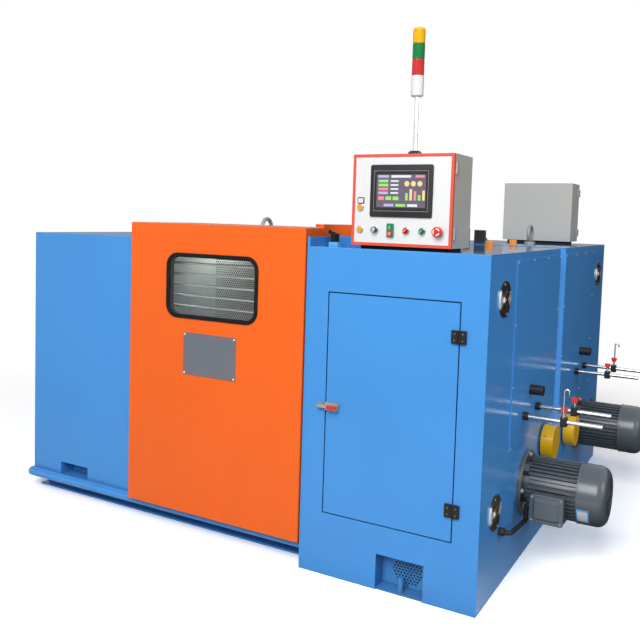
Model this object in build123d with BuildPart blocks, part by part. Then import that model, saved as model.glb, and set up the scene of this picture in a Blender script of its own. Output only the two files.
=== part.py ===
"""Pair twisting machine: two mirrored twisting units back to back on one plinth.

Frame: origin on the floor under the middle of the whole machine, +X along the machine towards its
drive end, -Y towards the operator, +Z up. All sizes are millimetres.
"""
from build123d import *
import os

# Overall sizes
unit_depth = 1200.0
unit_gap = 125.0
body_height = 1400.0
chamber_length = 1725.0
cabinet_length = 790.0
rail_overhang = 35.0

# Shared fits
overrun = 20.0
seat_clearance = 0.3
running_gap = 5.0

# Plinth under the chambers
plinth_height = 70.0
plinth_setback = 110.0
channel_width = 60.0
channel_plate = 9.0
pocket_length = 95.0
pocket_height = 34.0
pocket_spacing = 115.0
cross_beam_width = 90.0

# Rail in front of each sliding door
rail_height = 34.0
rail_setback = 25.0
rail_nose_radius = 13.0
rail_tip_radius = 45.0
ridge_width = 8.0
ridge_height = 12.0
ridge_setback = 9.0

# Double skinned chamber walls
wall = 30.0
panel_setback = 61.0
hood_reach = 500.0
lining_thickness = 6.0
vent_length = 196.0
vent_height = 70.0
vent_offset = 204.0
vent_depth = 60.0

# Drive cabinet sheets
bulkhead_thickness = 12.0
bulkhead_rise = 40.0
end_plate_thickness = 12.0
sheet = 5.0
fold_radius = 4.0
cabinet_floor_height = 150.0
doorway_sill = 269.0
doorway_head = 185.0
doorway_left_margin = 107.0
doorway_right_margin = 107.0
foot_recess_width = 208.0
foot_recess_left = 364.0
foot_recess_depth = 72.0
foot_post_diameter = 24.0
foot_post_height = 66.0
foot_setback = 24.0

# Sliding door with its roof hood
door_width = 975.0
door_proud = 10.0
far_door_open = 110.0
door_thickness = 40.0
door_bottom = 112.0
door_rise = 75.0
door_lap = 60.0
door_edge_radius = 6.0
hood_thickness = 38.0
rim_height = 17.0
rim_width = 26.0
rim_setback = 150.0
shoe_length = 60.0
shoe_height = 44.0
shoe_margin = 80.0
shoe_lap = 8.0

# Window in the sliding door
window_width = 515.0
window_height = 304.0
window_radius = 62.0
window_drop = 287.0
window_left_margin = 227.0
gasket_width = 20.0
gasket_proud = 7.0
glass_thickness = 6.0
bar_diameter = 12.0
bar_count = 5
bar_setback = 10.0
bar_inset = 2.0
bar_foot_width = 14.0

# Cabinet door, its square hinges and its toggle latch
door_leaf_thickness = 20.0
hinge_height = 50.0
hinge_leaf_width = 26.0
hinge_leaf_thickness = 12.0
hinge_pin_diameter = 12.0
hinge_pin_gap = 0.5
hinge_pin_proud = 3.0
hinge_margin = 160.0
latch_length = 62.0
latch_height = 34.0
latch_base_thickness = 14.0
latch_drop = 10.0
hook_length = 34.0
hook_height = 14.0
hook_thickness = 10.0
keeper_length = 24.0
keeper_height = 26.0
keeper_thickness = 9.0
handle_length = 46.0
handle_height = 16.0
handle_thickness = 9.0

# Plates on the drive end
access_panel_thickness = 4.0
access_panel_front = 375.0
access_panel_back_margin = 4.0
access_panel_bottom = 555.0
access_panel_head = 30.0
cover_diameter = 146.0
cover_thickness = 7.0
cover_boss_diameter = 64.0
cover_boss_height = 5.0
cover_inset = 201.0
cover_low_height = 352.0
cover_high_drop = 181.0

# Flange motor
motor_inset = 685.0
motor_height = 342.0
motor_flange_diameter = 300.0
motor_flange_thickness = 18.0
motor_neck_diameter = 190.0
motor_neck_length = 22.0
motor_lug_count = 4
motor_lug_size = 34.0
motor_core_diameter = 226.0
motor_fin_count = 40
motor_fin_height = 13.0
motor_fin_thickness = 4.5
motor_body_length = 203.0
fan_cover_diameter = 268.0
fan_cover_length = 120.0
fan_cover_radius = 44.0
fan_cover_gap = 3.0
terminal_length = 139.0
terminal_height = 119.0
terminal_depth = 50.0
terminal_lid_thickness = 12.0
terminal_lip = 3.0
terminal_corner = 13.0
terminal_edge = 4.0
terminal_lid_margin = 13.0
terminal_lid_rise = 7.0
terminal_lid_taper = 50.0
terminal_seat = 134.0
terminal_offset = 48.0
terminal_fan_gap = 36.0
conduit_diameter = 20.0
conduit_inset = 275.0
conduit_height = 251.0
conduit_low = 224.0
conduit_clear = 20.0
conduit_bend = 12.0
gland_diameter = 34.0
gland_length = 24.0
nut_length = 6.0
far_motor_rise = 36.0

# Brake drum, guide rods and their clamps
drum_inset = 1002.0
drum_height = 460.0
drum_diameter = 166.0
drum_width = 57.0
drum_hub_diameter = 90.0
drum_standoff = 8.0
drum_edge = 1.5
far_drum_drop = 58.0
rod_inset = 579.0
rod_pitch = 227.0
rod_height = 672.0
rod_diameter = 18.0
rod_reach = 338.0
collar_diameter = 36.0
collar_length = 22.0
clamp_place = 178.0
clamp_length = 26.0
clamp_size = 40.0
clamp_edge = 5.0
knob_stem_diameter = 10.0
knob_stem_length = 19.0
knob_span = 36.0
knob_height = 23.0
knob_thickness = 12.0
knob_flare = 68.0
knob_round = 4.0
guide_diameter = 8.0
guide_rise = 144.0
guide_bend = 9.0
guide_hook = 20.0
far_fitting_rise = 22.0
socket_inset = 687.0
socket_height = 772.0
socket_diameter = 46.0
socket_length = 60.0

# Control box on the near cabinet, and its plain twin
box_width = 432.0
box_height = 370.0
box_depth = 220.0
box_sheet = 3.0
box_setback = 30.0
box_right_margin = 169.0
box_rise = 14.0
box_foot_inset = 26.0
panel_thickness = 14.0
panel_gap = 1.0
panel_border = 12.0
panel_recess = 1.5
box_hinge_height = 46.0
box_hinge_diameter = 9.4
box_hinge_margin = 34.0
box_hinge_offset = 5.0

# Controls on the panel
screen_width = 267.0
screen_height = 210.0
screen_proud = 9.0
screen_corner = 8.0
screen_drop = 43.0
screen_left = 82.0
bezel_diameter = 30.0
bezel_height = 6.0
button_diameter = 23.0
button_proud = 12.0
control_row_height = 64.0
control_count = 6
control_pitch = 68.0
control_left = 39.0
pilot_spacing = 90.0
pair_block_width = 28.0
pair_block_height = 56.0
pair_block_proud = 11.0
selector_diameter = 25.0
selector_proud = 11.0
selector_grip_width = 9.0
selector_grip_length = 22.0
selector_grip_proud = 12.0
stop_diameter = 41.0
stop_stem_diameter = 26.0
stop_stem_length = 14.0
stop_head_thickness = 16.0
stop_edge = 5.0

# Signal tower
tower_left = 223.0
tower_diameter = 51.0
tower_base_diameter = 56.0
tower_base_height = 20.0
tower_pole_diameter = 17.0
tower_pole_length = 219.0
tower_body_height = 84.0
tower_lens_height = 64.0
tower_lens_count = 3
tower_lens_gap = 3.0
tower_neck_diameter = 44.0
tower_cap_radius = 9.0

# Fittings on the roof
eye_inset = 600.0
eye_right_margin = 335.0
eye_left_margin = 1382.0
eye_ring_diameter = 108.0
eye_bar_diameter = 20.0
eye_base_diameter = 62.0
eye_base_height = 14.0
cap_diameter = 42.0
cap_height = 28.0
cap_edge = 3.0
cap_inset = 1038.0
cap_right_margin = 320.0
plug_length = 62.0
plug_width = 46.0
plug_height = 74.0
plug_inset = 713.0
plug_right_margin = 610.0
switch_inset = 175.0
switch_offset = 26.0
switch_bracket_width = 44.0
switch_bracket_height = 16.0
switch_body_length = 24.0
switch_body_width = 34.0
switch_body_height = 38.0
lever_length = 24.0
lever_thickness = 6.0
roller_diameter = 18.0
roller_width = 8.0

# Planes worked out from the sizes above
front = -(unit_gap / 2 + unit_depth)
back = -unit_gap / 2
motor_reach = motor_flange_thickness + motor_neck_length + motor_body_length
motor_reach += fan_cover_gap + fan_cover_length
overall_length = rail_overhang + chamber_length + cabinet_length + motor_reach
x_tip = -overall_length / 2
x_left = x_tip + rail_overhang
x_bulk = x_left + chamber_length
x_end = x_bulk + cabinet_length
x_cabinet = x_bulk + bulkhead_thickness
rail_top = plinth_height + rail_height
channel_front = front + plinth_setback
channel_back = channel_front + channel_width
roof_under = body_height - wall
panel_front = front + panel_setback
hood_back = front + hood_reach
door_right = x_bulk - running_gap
door_left = door_right - door_width
door_front = front - door_proud
door_back = door_front + door_thickness
door_top = body_height + door_rise
window_z = door_top - window_drop
opening_left = door_left + door_lap
tower_y = front + box_setback + box_depth / 2


def slab(x, y, z, mode=Mode.ADD):
    """A block between two corners, each axis given as (low, high)."""
    with Locations(((x[0] + x[1]) / 2, (y[0] + y[1]) / 2, (z[0] + z[1]) / 2)):
        Box(x[1] - x[0], y[1] - y[0], z[1] - z[0], mode=mode)


def facing_end(x, y, z):
    """A plane whose normal points along +X, out of the drive end."""
    return Plane(origin=(x, y, z), x_dir=(0, 1, 0), z_dir=(1, 0, 0))


def facing_operator(x, y, z):
    """A plane whose normal points along -Y, towards the operator."""
    return Plane(origin=(x, y, z), x_dir=(1, 0, 0), z_dir=(0, -1, 0))


def twin(rise=0.0):
    """Repeat the near unit's pieces on the far unit, there higher by the rise."""
    near = BuildPart._get_context().part
    add(Pos(0, 0, rise) * mirror(near, about=Plane.XZ, mode=Mode.PRIVATE))


# Plinth: one channel under each chamber front, tied by beams that run across both units
with BuildPart() as plinth_rails:
    slab((x_left, x_bulk), (channel_front, channel_back), (0, plinth_height))
    slab(
        (x_left - overrun, x_bulk + overrun),
        (channel_front - overrun, channel_back - channel_plate),
        (channel_plate, plinth_height - channel_plate),
        mode=Mode.SUBTRACT,
    )
    pocket_group = (x_left + vent_offset + vent_length / 2, x_left + chamber_length / 2)
    for group in pocket_group:
        for step in (-pocket_spacing / 2, pocket_spacing / 2):
            slab(
                (group + step - pocket_length / 2, group + step + pocket_length / 2),
                (channel_front, channel_back + overrun),
                ((plinth_height - pocket_height) / 2, (plinth_height + pocket_height) / 2),
                mode=Mode.SUBTRACT,
            )
    twin()

with BuildPart() as cross_beams:
    for x in (x_left, (x_left + x_bulk - cross_beam_width) / 2, x_bulk - cross_beam_width):
        slab((x, x + cross_beam_width), (channel_back, -channel_back), (0, plinth_height))

# Door rail with a round nose, a round tip and a guide ridge behind the door
ridge_front = door_back + ridge_setback
with BuildPart() as door_rails:
    slab((x_tip, x_bulk), (front + rail_setback, channel_back), (plinth_height, rail_top))
    tip_edge = door_rails.edges().filter_by(Axis.Z).group_by(Axis.X)[0].sort_by(Axis.Y)[0]
    fillet(tip_edge, rail_tip_radius)
    nose_edges = door_rails.edges().filter_by(Axis.X).group_by(Axis.Y)[0]
    fillet(nose_edges, rail_nose_radius)
    slab(
        (x_left, x_bulk),
        (ridge_front, ridge_front + ridge_width),
        (rail_top, rail_top + ridge_height),
    )
    twin()

# Chamber shell
with BuildPart() as floors:
    slab((x_left, x_bulk), (channel_back, back), (plinth_height, rail_top))
    slab(
        (x_cabinet, x_end - end_plate_thickness),
        (front + sheet, back - sheet),
        (cabinet_floor_height, cabinet_floor_height + sheet),
    )
    twin()

with BuildPart() as left_front_panels:
    slab((x_left, opening_left), (panel_front, panel_front + wall), (rail_top, roof_under))
    vent_left = x_left + vent_offset
    slab(
        (vent_left, vent_left + vent_length),
        (panel_front - overrun, panel_front + wall + overrun),
        (rail_top, rail_top + vent_height),
        mode=Mode.SUBTRACT,
    )
    twin()

with BuildPart() as left_end_walls:
    slab((x_left, x_left + wall), (panel_front + wall, back), (rail_top, roof_under))
    twin()

with BuildPart() as back_walls:
    slab((x_left + wall, x_bulk), (back - wall, back), (rail_top, roof_under))
    slab((x_cabinet, x_end - end_plate_thickness), (back - sheet, back), (0, body_height - sheet))
    twin()

with BuildPart() as roofs:
    slab((x_left, x_bulk), (panel_front, back), (roof_under, body_height))
    slab(
        (opening_left, x_bulk + overrun),
        (panel_front - overrun, hood_back),
        (roof_under - overrun, body_height + overrun),
        mode=Mode.SUBTRACT,
    )
    twin()

with BuildPart() as chamber_linings:
    slab(
        (opening_left, x_bulk),
        (hood_back, hood_back + lining_thickness),
        (rail_top, roof_under),
    )
    twin()

# Drive cabinet
with BuildPart() as bulkheads:
    slab((x_bulk, x_cabinet), (front, back), (0, body_height))
    twin()
    slab((x_bulk, x_cabinet), (front, back), (body_height, body_height + bulkhead_rise))

doorway_right = x_end - doorway_right_margin
doorway_left = x_bulk + doorway_left_margin
doorway_top = body_height - doorway_head
recess_left = x_cabinet + foot_recess_left - bulkhead_thickness
recess_right = recess_left + foot_recess_width
with BuildPart() as cabinet_fronts:
    slab((x_cabinet, x_end), (front, front + sheet), (0, body_height))
    slab(
        (doorway_left, doorway_right),
        (front - overrun, front + sheet + overrun),
        (doorway_sill, doorway_top),
        mode=Mode.SUBTRACT,
    )
    slab(
        (recess_left, recess_right),
        (front - overrun, front + sheet + overrun),
        (-overrun, cabinet_floor_height),
        mode=Mode.SUBTRACT,
    )
    fold_edge = cabinet_fronts.edges().filter_by(Axis.X).group_by(Axis.Z)[-1].sort_by(Axis.Y)[0]
    fillet(fold_edge, fold_radius)
    twin()

with BuildPart() as cabinet_tops:
    slab((x_cabinet, x_end), (front + sheet, back), (body_height - sheet, body_height))
    twin()

with BuildPart() as end_plates:
    slab((x_end - end_plate_thickness, x_end), (front + sheet, back), (0, body_height - sheet))
    twin()

recess_back = front + sheet + foot_recess_depth
vent_back = panel_front + wall + vent_depth
with BuildPart() as recess_boxes:
    slab(
        (recess_left - sheet, recess_right + sheet),
        (front + sheet, recess_back + sheet),
        (0, cabinet_floor_height),
    )
    slab(
        (recess_left, recess_right),
        (front - overrun, recess_back),
        (sheet, cabinet_floor_height + overrun),
        mode=Mode.SUBTRACT,
    )
    slab(
        (vent_left - sheet, vent_left + vent_length + sheet),
        (panel_front + wall, vent_back + sheet),
        (rail_top, rail_top + vent_height + sheet),
    )
    slab(
        (vent_left, vent_left + vent_length),
        (panel_front, vent_back),
        (rail_top - overrun, rail_top + vent_height),
        mode=Mode.SUBTRACT,
    )
    twin()

with BuildPart() as levelling_feet:
    foot_x = (recess_left + recess_right) / 2
    with Locations((foot_x, front + foot_setback, sheet)):
        Cylinder(
            foot_post_diameter / 2,
            foot_post_height,
            align=(Align.CENTER, Align.CENTER, Align.MIN),
        )
    twin()

# Sliding door: a tall slab with a window, its hood, gasket, glass and guard bars
window_x = door_left + window_left_margin + window_width / 2
window_plane = facing_operator(window_x, door_back, window_z)


def window_outline(inset):
    """The window's rounded rectangle, drawn smaller by an inset on every side."""
    RectangleRounded(window_width - 2 * inset, window_height - 2 * inset, window_radius - inset)


def make_sliding_door():
    """Door slab with a window, bent over into a rimmed hood, with shoes that run on the guide ridge."""
    with BuildPart() as door:
        slab((door_left, door_right), (door_front, door_back), (door_bottom, door_top))
        slab((door_left, door_right), (door_back, hood_back), (door_top - hood_thickness, door_top))
        slab(
            (door_right - rim_width, door_right),
            (front + rim_setback, hood_back),
            (door_top, door_top + rim_height),
        )
        fillet(door.edges().filter_by(Axis.Z).group_by(Axis.Y)[0], door_edge_radius)
        shoe_foot = rail_top + ridge_height + seat_clearance
        for x in (door_left + shoe_margin, door_right - shoe_margin - shoe_length):
            slab(
                (x, x + shoe_length),
                (door_back, ridge_front + ridge_width + shoe_lap),
                (shoe_foot, shoe_foot + shoe_height),
            )
        with BuildSketch(window_plane.offset(-overrun)) as cut:
            window_outline(gasket_width / 2)
        extrude(cut.sketch, amount=door_thickness + 2 * overrun, mode=Mode.SUBTRACT)
    return door


def make_gasket():
    """Rubber ring round the window: a flange on the door face and a sleeve in the cut-out."""
    with BuildPart() as gasket:
        with BuildSketch(window_plane.offset(door_thickness)):
            window_outline(0)
            RectangleRounded(
                window_width - 2 * gasket_width,
                window_height - 2 * gasket_width,
                window_radius - gasket_width,
                mode=Mode.SUBTRACT,
            )
        extrude(amount=gasket_proud)
        outer_edges = gasket.faces().sort_by(Axis.Y)[0].outer_wire().edges()
        fillet(outer_edges, gasket_proud / 2)
    return gasket


def make_glass():
    """Pane held in the cut-out just behind the gasket's flange."""
    with BuildPart() as glass:
        with BuildSketch(window_plane.offset(door_thickness - glass_thickness)):
            window_outline(gasket_width / 2 + seat_clearance)
        extrude(amount=glass_thickness)
    return glass


def make_window_bars():
    """Round guard bars across the back of the window, tied by two flat feet on the door."""
    bar_length = window_width + 2 * bar_foot_width
    with BuildPart() as bars:
        for side in (-1, 1):
            foot_x = window_x + side * (bar_length - bar_foot_width) / 2
            slab(
                (foot_x - bar_foot_width / 2, foot_x + bar_foot_width / 2),
                (door_back, door_back + bar_setback),
                (window_z - window_height / 2, window_z + window_height / 2),
            )
        bar_y = door_back + bar_setback - bar_inset
        with BuildSketch(facing_end(window_x - bar_length / 2, bar_y, window_z)):
            with GridLocations(0, window_height / (bar_count + 1), 1, bar_count):
                Circle(bar_diameter / 2)
        extrude(amount=bar_length)
    return bars


sliding_door = make_sliding_door()
window_gasket = make_gasket()
window_glass = make_glass()
window_bars = make_window_bars()

# Cabinet door with square hinges on its right edge and a toggle latch on its left edge
leaf_left = doorway_left + running_gap
leaf_right = doorway_right - running_gap
hinge_x = doorway_right
hinge_y = front - hinge_leaf_thickness - hinge_pin_proud + hinge_pin_diameter / 2
hinge_heights = (doorway_sill + hinge_margin / 2 + hinge_height / 2, doorway_top - hinge_margin)
leaf_edge = hinge_x - hinge_pin_diameter / 2 - hinge_pin_gap
with BuildPart() as cabinet_door:
    slab(
        (leaf_left, leaf_right),
        (front, front + door_leaf_thickness),
        (doorway_sill + running_gap, doorway_top - running_gap),
    )

with BuildPart() as hinge_plates:
    for z in hinge_heights:
        slab(
            (hinge_x, hinge_x + hinge_leaf_width),
            (front - hinge_leaf_thickness, front),
            (z, z + hinge_height),
        )
        with Locations((hinge_x, hinge_y, z)):
            Cylinder(
                hinge_pin_diameter / 2,
                hinge_height,
                align=(Align.CENTER, Align.CENTER, Align.MIN),
            )
    slab(
        (hinge_x - overrun, hinge_x + hinge_leaf_width),
        (front, front + overrun),
        (0, body_height),
        mode=Mode.SUBTRACT,
    )
    twin()
    for z in hinge_heights:
        slab(
            (leaf_edge - hinge_leaf_width, leaf_edge),
            (-front, -front + hinge_leaf_thickness),
            (z, z + hinge_height),
        )

with BuildPart() as hinge_leaves:
    for z in hinge_heights:
        slab(
            (leaf_edge - hinge_leaf_width, leaf_edge),
            (front - hinge_leaf_thickness, front),
            (z, z + hinge_height),
        )

latch_z = (doorway_sill + doorway_top) / 2 - latch_drop
latch_right = leaf_left + latch_length
with BuildPart() as door_latch:
    slab(
        (leaf_left, latch_right),
        (front - latch_base_thickness, front),
        (latch_z - latch_height / 2, latch_z + latch_height / 2),
    )
    hook_front = front - latch_base_thickness - hook_thickness
    slab(
        (leaf_left - hook_length, latch_right - latch_length / 2),
        (hook_front, front - latch_base_thickness),
        (latch_z - hook_height / 2, latch_z + hook_height / 2),
    )
    fillet(door_latch.edges().filter_by(Axis.Y).group_by(Axis.X)[-1], latch_height / 4)

with BuildPart() as latch_handle:
    slab(
        (latch_right - handle_length, latch_right),
        (hook_front - handle_thickness, hook_front),
        (latch_z - handle_height / 2, latch_z + handle_height / 2),
    )
    fillet(latch_handle.edges().filter_by(Axis.Y), handle_height / 4)

with BuildPart() as latch_keepers:
    keeper_right = doorway_left - running_gap
    slab(
        (keeper_right - keeper_length, keeper_right),
        (front - keeper_thickness, front),
        (latch_z - keeper_height / 2, latch_z + keeper_height / 2),
    )
    fillet(latch_keepers.edges().filter_by(Axis.Y), keeper_height / 4)
    twin()
    for piece in (door_latch, latch_handle):
        add(mirror(piece.part, about=Plane.XZ, mode=Mode.PRIVATE))

# Drive end: access panel, hole covers and cable socket
panel_face = x_end + access_panel_thickness
with BuildPart() as access_panels:
    slab(
        (x_end, panel_face),
        (front + access_panel_front, back - access_panel_back_margin),
        (access_panel_bottom, body_height - access_panel_head),
    )
    twin()

with BuildPart() as hole_covers:
    for z in (cover_low_height, body_height - cover_high_drop):
        with BuildSketch(facing_end(x_end, front + cover_inset, z)):
            Circle(cover_diameter / 2)
        extrude(amount=cover_thickness)
        with BuildSketch(facing_end(x_end + cover_thickness, front + cover_inset, z)):
            Circle(cover_boss_diameter / 2)
        extrude(amount=cover_boss_height)
    chamfer(hole_covers.edges().filter_by(GeomType.CIRCLE).group_by(Axis.X)[-1], cover_boss_height / 3)
    twin()

# Flange motor: flange, finned frame, terminal box, fan cover and its conduit
motor_y = front + motor_inset
neck_x = x_end + motor_flange_thickness
frame_x = neck_x + motor_neck_length
fan_x = frame_x + motor_body_length + fan_cover_gap
with BuildPart() as motor_flanges:
    with BuildSketch(facing_end(x_end, motor_y, motor_height)):
        Circle(motor_flange_diameter / 2)
    extrude(amount=motor_flange_thickness)
    flange_edge = motor_flanges.edges().filter_by(GeomType.CIRCLE).group_by(Axis.X)[-1]
    fillet(flange_edge, motor_flange_thickness / 3)
    lug_radius = motor_core_diameter / 2 + motor_lug_size / 4
    with BuildSketch(facing_end(neck_x, motor_y, motor_height)):
        Circle(motor_neck_diameter / 2)
        with PolarLocations(lug_radius, motor_lug_count, start_angle=180 / motor_lug_count):
            Rectangle(motor_lug_size, motor_lug_size)
    extrude(amount=motor_neck_length)
    twin(far_motor_rise)

with BuildPart() as motor_frames:
    fin_radius = motor_core_diameter / 2 + motor_fin_height / 2
    with BuildSketch(facing_end(frame_x, motor_y, motor_height)):
        Circle(motor_core_diameter / 2)
        with PolarLocations(fin_radius, motor_fin_count):
            Rectangle(motor_fin_height + motor_fin_thickness, motor_fin_thickness)
    extrude(amount=motor_body_length)
    terminal_right = frame_x + motor_body_length - terminal_fan_gap
    terminal_left = terminal_right - terminal_length
    terminal_z = motor_height - terminal_offset - terminal_height / 2
    terminal_top = terminal_z + terminal_height
    slab((terminal_left, terminal_right), (motor_y - terminal_seat, motor_y), (terminal_z, terminal_top))
    with BuildSketch(facing_end(frame_x + motor_body_length, motor_y, motor_height)):
        Circle(motor_core_diameter / 2)
    extrude(amount=fan_cover_gap)
    twin(far_motor_rise)

with BuildPart() as fan_covers:
    with BuildSketch(facing_end(fan_x, motor_y, motor_height)):
        Circle(fan_cover_diameter / 2)
    extrude(amount=fan_cover_length)
    end_edge = fan_covers.edges().filter_by(GeomType.CIRCLE).group_by(Axis.X)[-1]
    fillet(end_edge, fan_cover_radius)
    twin(far_motor_rise)

terminal_back = motor_y - terminal_seat
terminal_front = terminal_back - terminal_depth
lid_back = terminal_front + terminal_lid_thickness
with BuildPart() as terminal_boxes:
    slab((terminal_left, terminal_right), (lid_back, terminal_back), (terminal_z, terminal_top))
    slab(
        (terminal_left - terminal_lip, terminal_right + terminal_lip),
        (terminal_front, lid_back),
        (terminal_z - terminal_lip, terminal_top + terminal_lip),
    )
    fillet(terminal_boxes.edges().filter_by(Axis.Y), terminal_corner)
    fillet(terminal_boxes.faces().sort_by(Axis.Y)[0].edges(), terminal_edge)
    lid_x = (terminal_left + terminal_right) / 2
    with BuildSketch(facing_operator(lid_x, terminal_front, (terminal_z + terminal_top) / 2)):
        RectangleRounded(
            terminal_length - 2 * terminal_lid_margin,
            terminal_height - 2 * terminal_lid_margin,
            terminal_lid_margin,
        )
    extrude(amount=terminal_lid_rise, taper=terminal_lid_taper)
    twin(far_motor_rise)

conduit_y = front + conduit_inset
conduit_x = terminal_left - conduit_clear
entry_y = terminal_back - (terminal_depth - terminal_lid_thickness) / 2
entry_z = (terminal_z + terminal_top) / 2
with BuildPart() as conduits:
    with BuildLine() as conduit_path:
        FilletPolyline(
            (x_end + gland_length, conduit_y, conduit_height),
            (conduit_x, conduit_y, conduit_height),
            (conduit_x, entry_y, conduit_low),
            (conduit_x, entry_y, entry_z),
            (terminal_left - nut_length, entry_y, entry_z),
            radius=conduit_bend,
        )
    with BuildSketch(facing_end(x_end + gland_length, conduit_y, conduit_height)):
        Circle(conduit_diameter / 2)
    sweep(path=conduit_path.line)
    twin(far_motor_rise)

# Brake drum and guide rods with their clamps
with BuildPart() as brake_drums:
    drum_y = front + drum_inset
    with BuildSketch(facing_end(x_end, drum_y, drum_height)):
        Circle(drum_hub_diameter / 2)
    extrude(amount=drum_standoff)
    with BuildSketch(facing_end(x_end + drum_standoff, drum_y, drum_height)):
        Circle(drum_diameter / 2)
    extrude(amount=drum_width)
    chamfer(brake_drums.edges().filter_by(GeomType.CIRCLE).group_by(Axis.X)[-1], drum_edge)
    twin(-far_drum_drop)

rod_places = (front + rod_inset, front + rod_inset + rod_pitch)
rod_bore = rod_diameter / 2 + seat_clearance
clamp_x = x_end + clamp_place
with BuildPart() as end_fittings:
    for y in rod_places:
        with BuildSketch(facing_end(panel_face, y, rod_height)):
            Circle(collar_diameter / 2)
            Circle(rod_bore, mode=Mode.SUBTRACT)
        extrude(amount=collar_length)
        with BuildSketch(facing_end(clamp_x - clamp_length / 2, y, rod_height)):
            RectangleRounded(clamp_size, clamp_size, clamp_edge)
            Circle(rod_bore, mode=Mode.SUBTRACT)
        extrude(amount=clamp_length)
    with BuildSketch(facing_end(panel_face, front + socket_inset, socket_height)):
        Circle(socket_diameter / 2)
    extrude(amount=socket_length)
    twin(far_fitting_rise)
    with BuildPart(mode=Mode.PRIVATE) as glands:
        with BuildSketch(facing_end(x_end, conduit_y, conduit_height)):
            RegularPolygon(gland_diameter / 2, 6)
        extrude(amount=gland_length)
        with BuildSketch(facing_end(terminal_left - nut_length, entry_y, entry_z)):
            RegularPolygon(gland_diameter / 2, 6)
        extrude(amount=nut_length)
        twin(far_motor_rise)
    add(glands.part)

knob_foot = rod_height + clamp_size / 2
with BuildPart() as clamp_knobs:
    for y in rod_places:
        with BuildSketch(Plane.XY.offset(knob_foot)):
            with Locations((clamp_x, y)):
                Circle(knob_stem_diameter / 2)
        extrude(amount=knob_stem_length)
        with BuildSketch(facing_operator(clamp_x, y, knob_foot + knob_stem_length)) as wing:
            with Locations((0, knob_height / 2)):
                Trapezoid(knob_span, knob_height, knob_flare, rotation=180)
            fillet(wing.vertices(), knob_round)
        extrude(amount=knob_thickness / 2, both=True)
    twin(far_fitting_rise)

guide_y = rod_places[0] - clamp_size / 2 + guide_diameter / 2
guide_top = rod_height + guide_rise
with BuildPart() as guide_rods:
    for y in rod_places:
        with BuildSketch(facing_end(panel_face, y, rod_height)):
            Circle(rod_diameter / 2)
        extrude(amount=rod_reach - access_panel_thickness)
    chamfer(guide_rods.edges().filter_by(GeomType.CIRCLE).group_by(Axis.X)[-1], rod_diameter / 12)
    with BuildLine() as guide_path:
        FilletPolyline(
            (clamp_x, guide_y, knob_foot),
            (clamp_x, guide_y, guide_top),
            (clamp_x + guide_hook, guide_y, guide_top),
            (clamp_x + guide_hook, guide_y, guide_top - guide_hook),
            radius=guide_bend,
        )
    with BuildSketch(Plane.XY.offset(knob_foot)):
        with Locations((clamp_x, guide_y)):
            Circle(guide_diameter / 2)
    sweep(path=guide_path.line)
    twin(far_fitting_rise)

# Control box on the near cabinet top and a closed twin on the far one
box_right = x_end - box_right_margin
box_left = box_right - box_width
box_front = front + box_setback
box_back = box_front + box_depth
box_bottom = body_height + box_rise
box_top = box_bottom + box_height
shell_front = box_front + panel_thickness + panel_gap
panel_face_y = box_front + panel_recess
with BuildPart() as box_feet:
    slab(
        (box_left + box_foot_inset, box_right - box_foot_inset),
        (shell_front + box_foot_inset, box_back - box_foot_inset),
        (body_height, box_bottom),
    )
    twin()

with BuildPart() as control_box:
    slab((box_left, box_right), (shell_front, box_back), (box_bottom, box_top))
    slab(
        (box_left + box_sheet, box_right - box_sheet),
        (shell_front - overrun, box_back - box_sheet),
        (box_bottom + box_sheet, box_top - box_sheet),
        mode=Mode.SUBTRACT,
    )

with BuildPart() as electrical_box:
    slab((box_left, box_right), (-box_back, -box_front), (box_bottom, box_top))
    fillet(electrical_box.edges().filter_by(Axis.Z).group_by(Axis.Y)[-1], panel_recess)
    slab(
        (box_left + panel_border, box_right - panel_border),
        (-panel_face_y, -box_front + overrun),
        (box_bottom + panel_border, box_top - panel_border),
        mode=Mode.SUBTRACT,
    )

box_hinge_x = box_right + box_hinge_offset
box_hinge_y = box_front + panel_thickness
box_hinge_heights = (box_bottom + box_hinge_margin, box_top - box_hinge_margin - box_hinge_height)
with BuildPart() as box_hinges:
    for z in box_hinge_heights:
        with Locations((box_hinge_x, box_hinge_y, z)):
            Cylinder(
                box_hinge_diameter / 2,
                box_hinge_height,
                align=(Align.CENTER, Align.CENTER, Align.MIN),
            )
        slab(
            (box_right, box_hinge_x + box_hinge_diameter / 4),
            (shell_front, shell_front + box_hinge_margin / 2),
            (z, z + box_hinge_height),
        )
    twin()

# Control panel: a framed door that carries the screen and the controls
with BuildPart() as control_panel:
    slab((box_left, box_right), (box_front, box_front + panel_thickness), (box_bottom, box_top))
    slab(
        (box_left + panel_border, box_right - panel_border),
        (box_front - overrun, panel_face_y),
        (box_bottom + panel_border, box_top - panel_border),
        mode=Mode.SUBTRACT,
    )

with BuildPart() as touch_screen:
    screen_x = box_left + screen_left + screen_width / 2
    screen_z = box_top - screen_drop - screen_height / 2
    with BuildSketch(facing_operator(screen_x, panel_face_y, screen_z)):
        RectangleRounded(screen_width, screen_height, screen_corner)
    extrude(amount=screen_proud)
    chamfer(touch_screen.faces().sort_by(Axis.Y)[0].edges(), screen_proud / 4)

row_z = box_bottom + control_row_height
control_x = [box_left + control_left + i * control_pitch for i in range(control_count)]
round_places = [(control_x[0], row_z), (control_x[0], row_z + pilot_spacing), (control_x[1], row_z)]
round_places += [(control_x[3], row_z), (control_x[4], row_z)]
bezel_face_y = panel_face_y - bezel_height


def button_cap(x, z, diameter, proud):
    """A round cap that stands on the face of a bezel."""
    with BuildSketch(facing_operator(x, bezel_face_y, z)) as cap:
        Circle(diameter / 2)
    extrude(cap.sketch, amount=proud - bezel_height)


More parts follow.
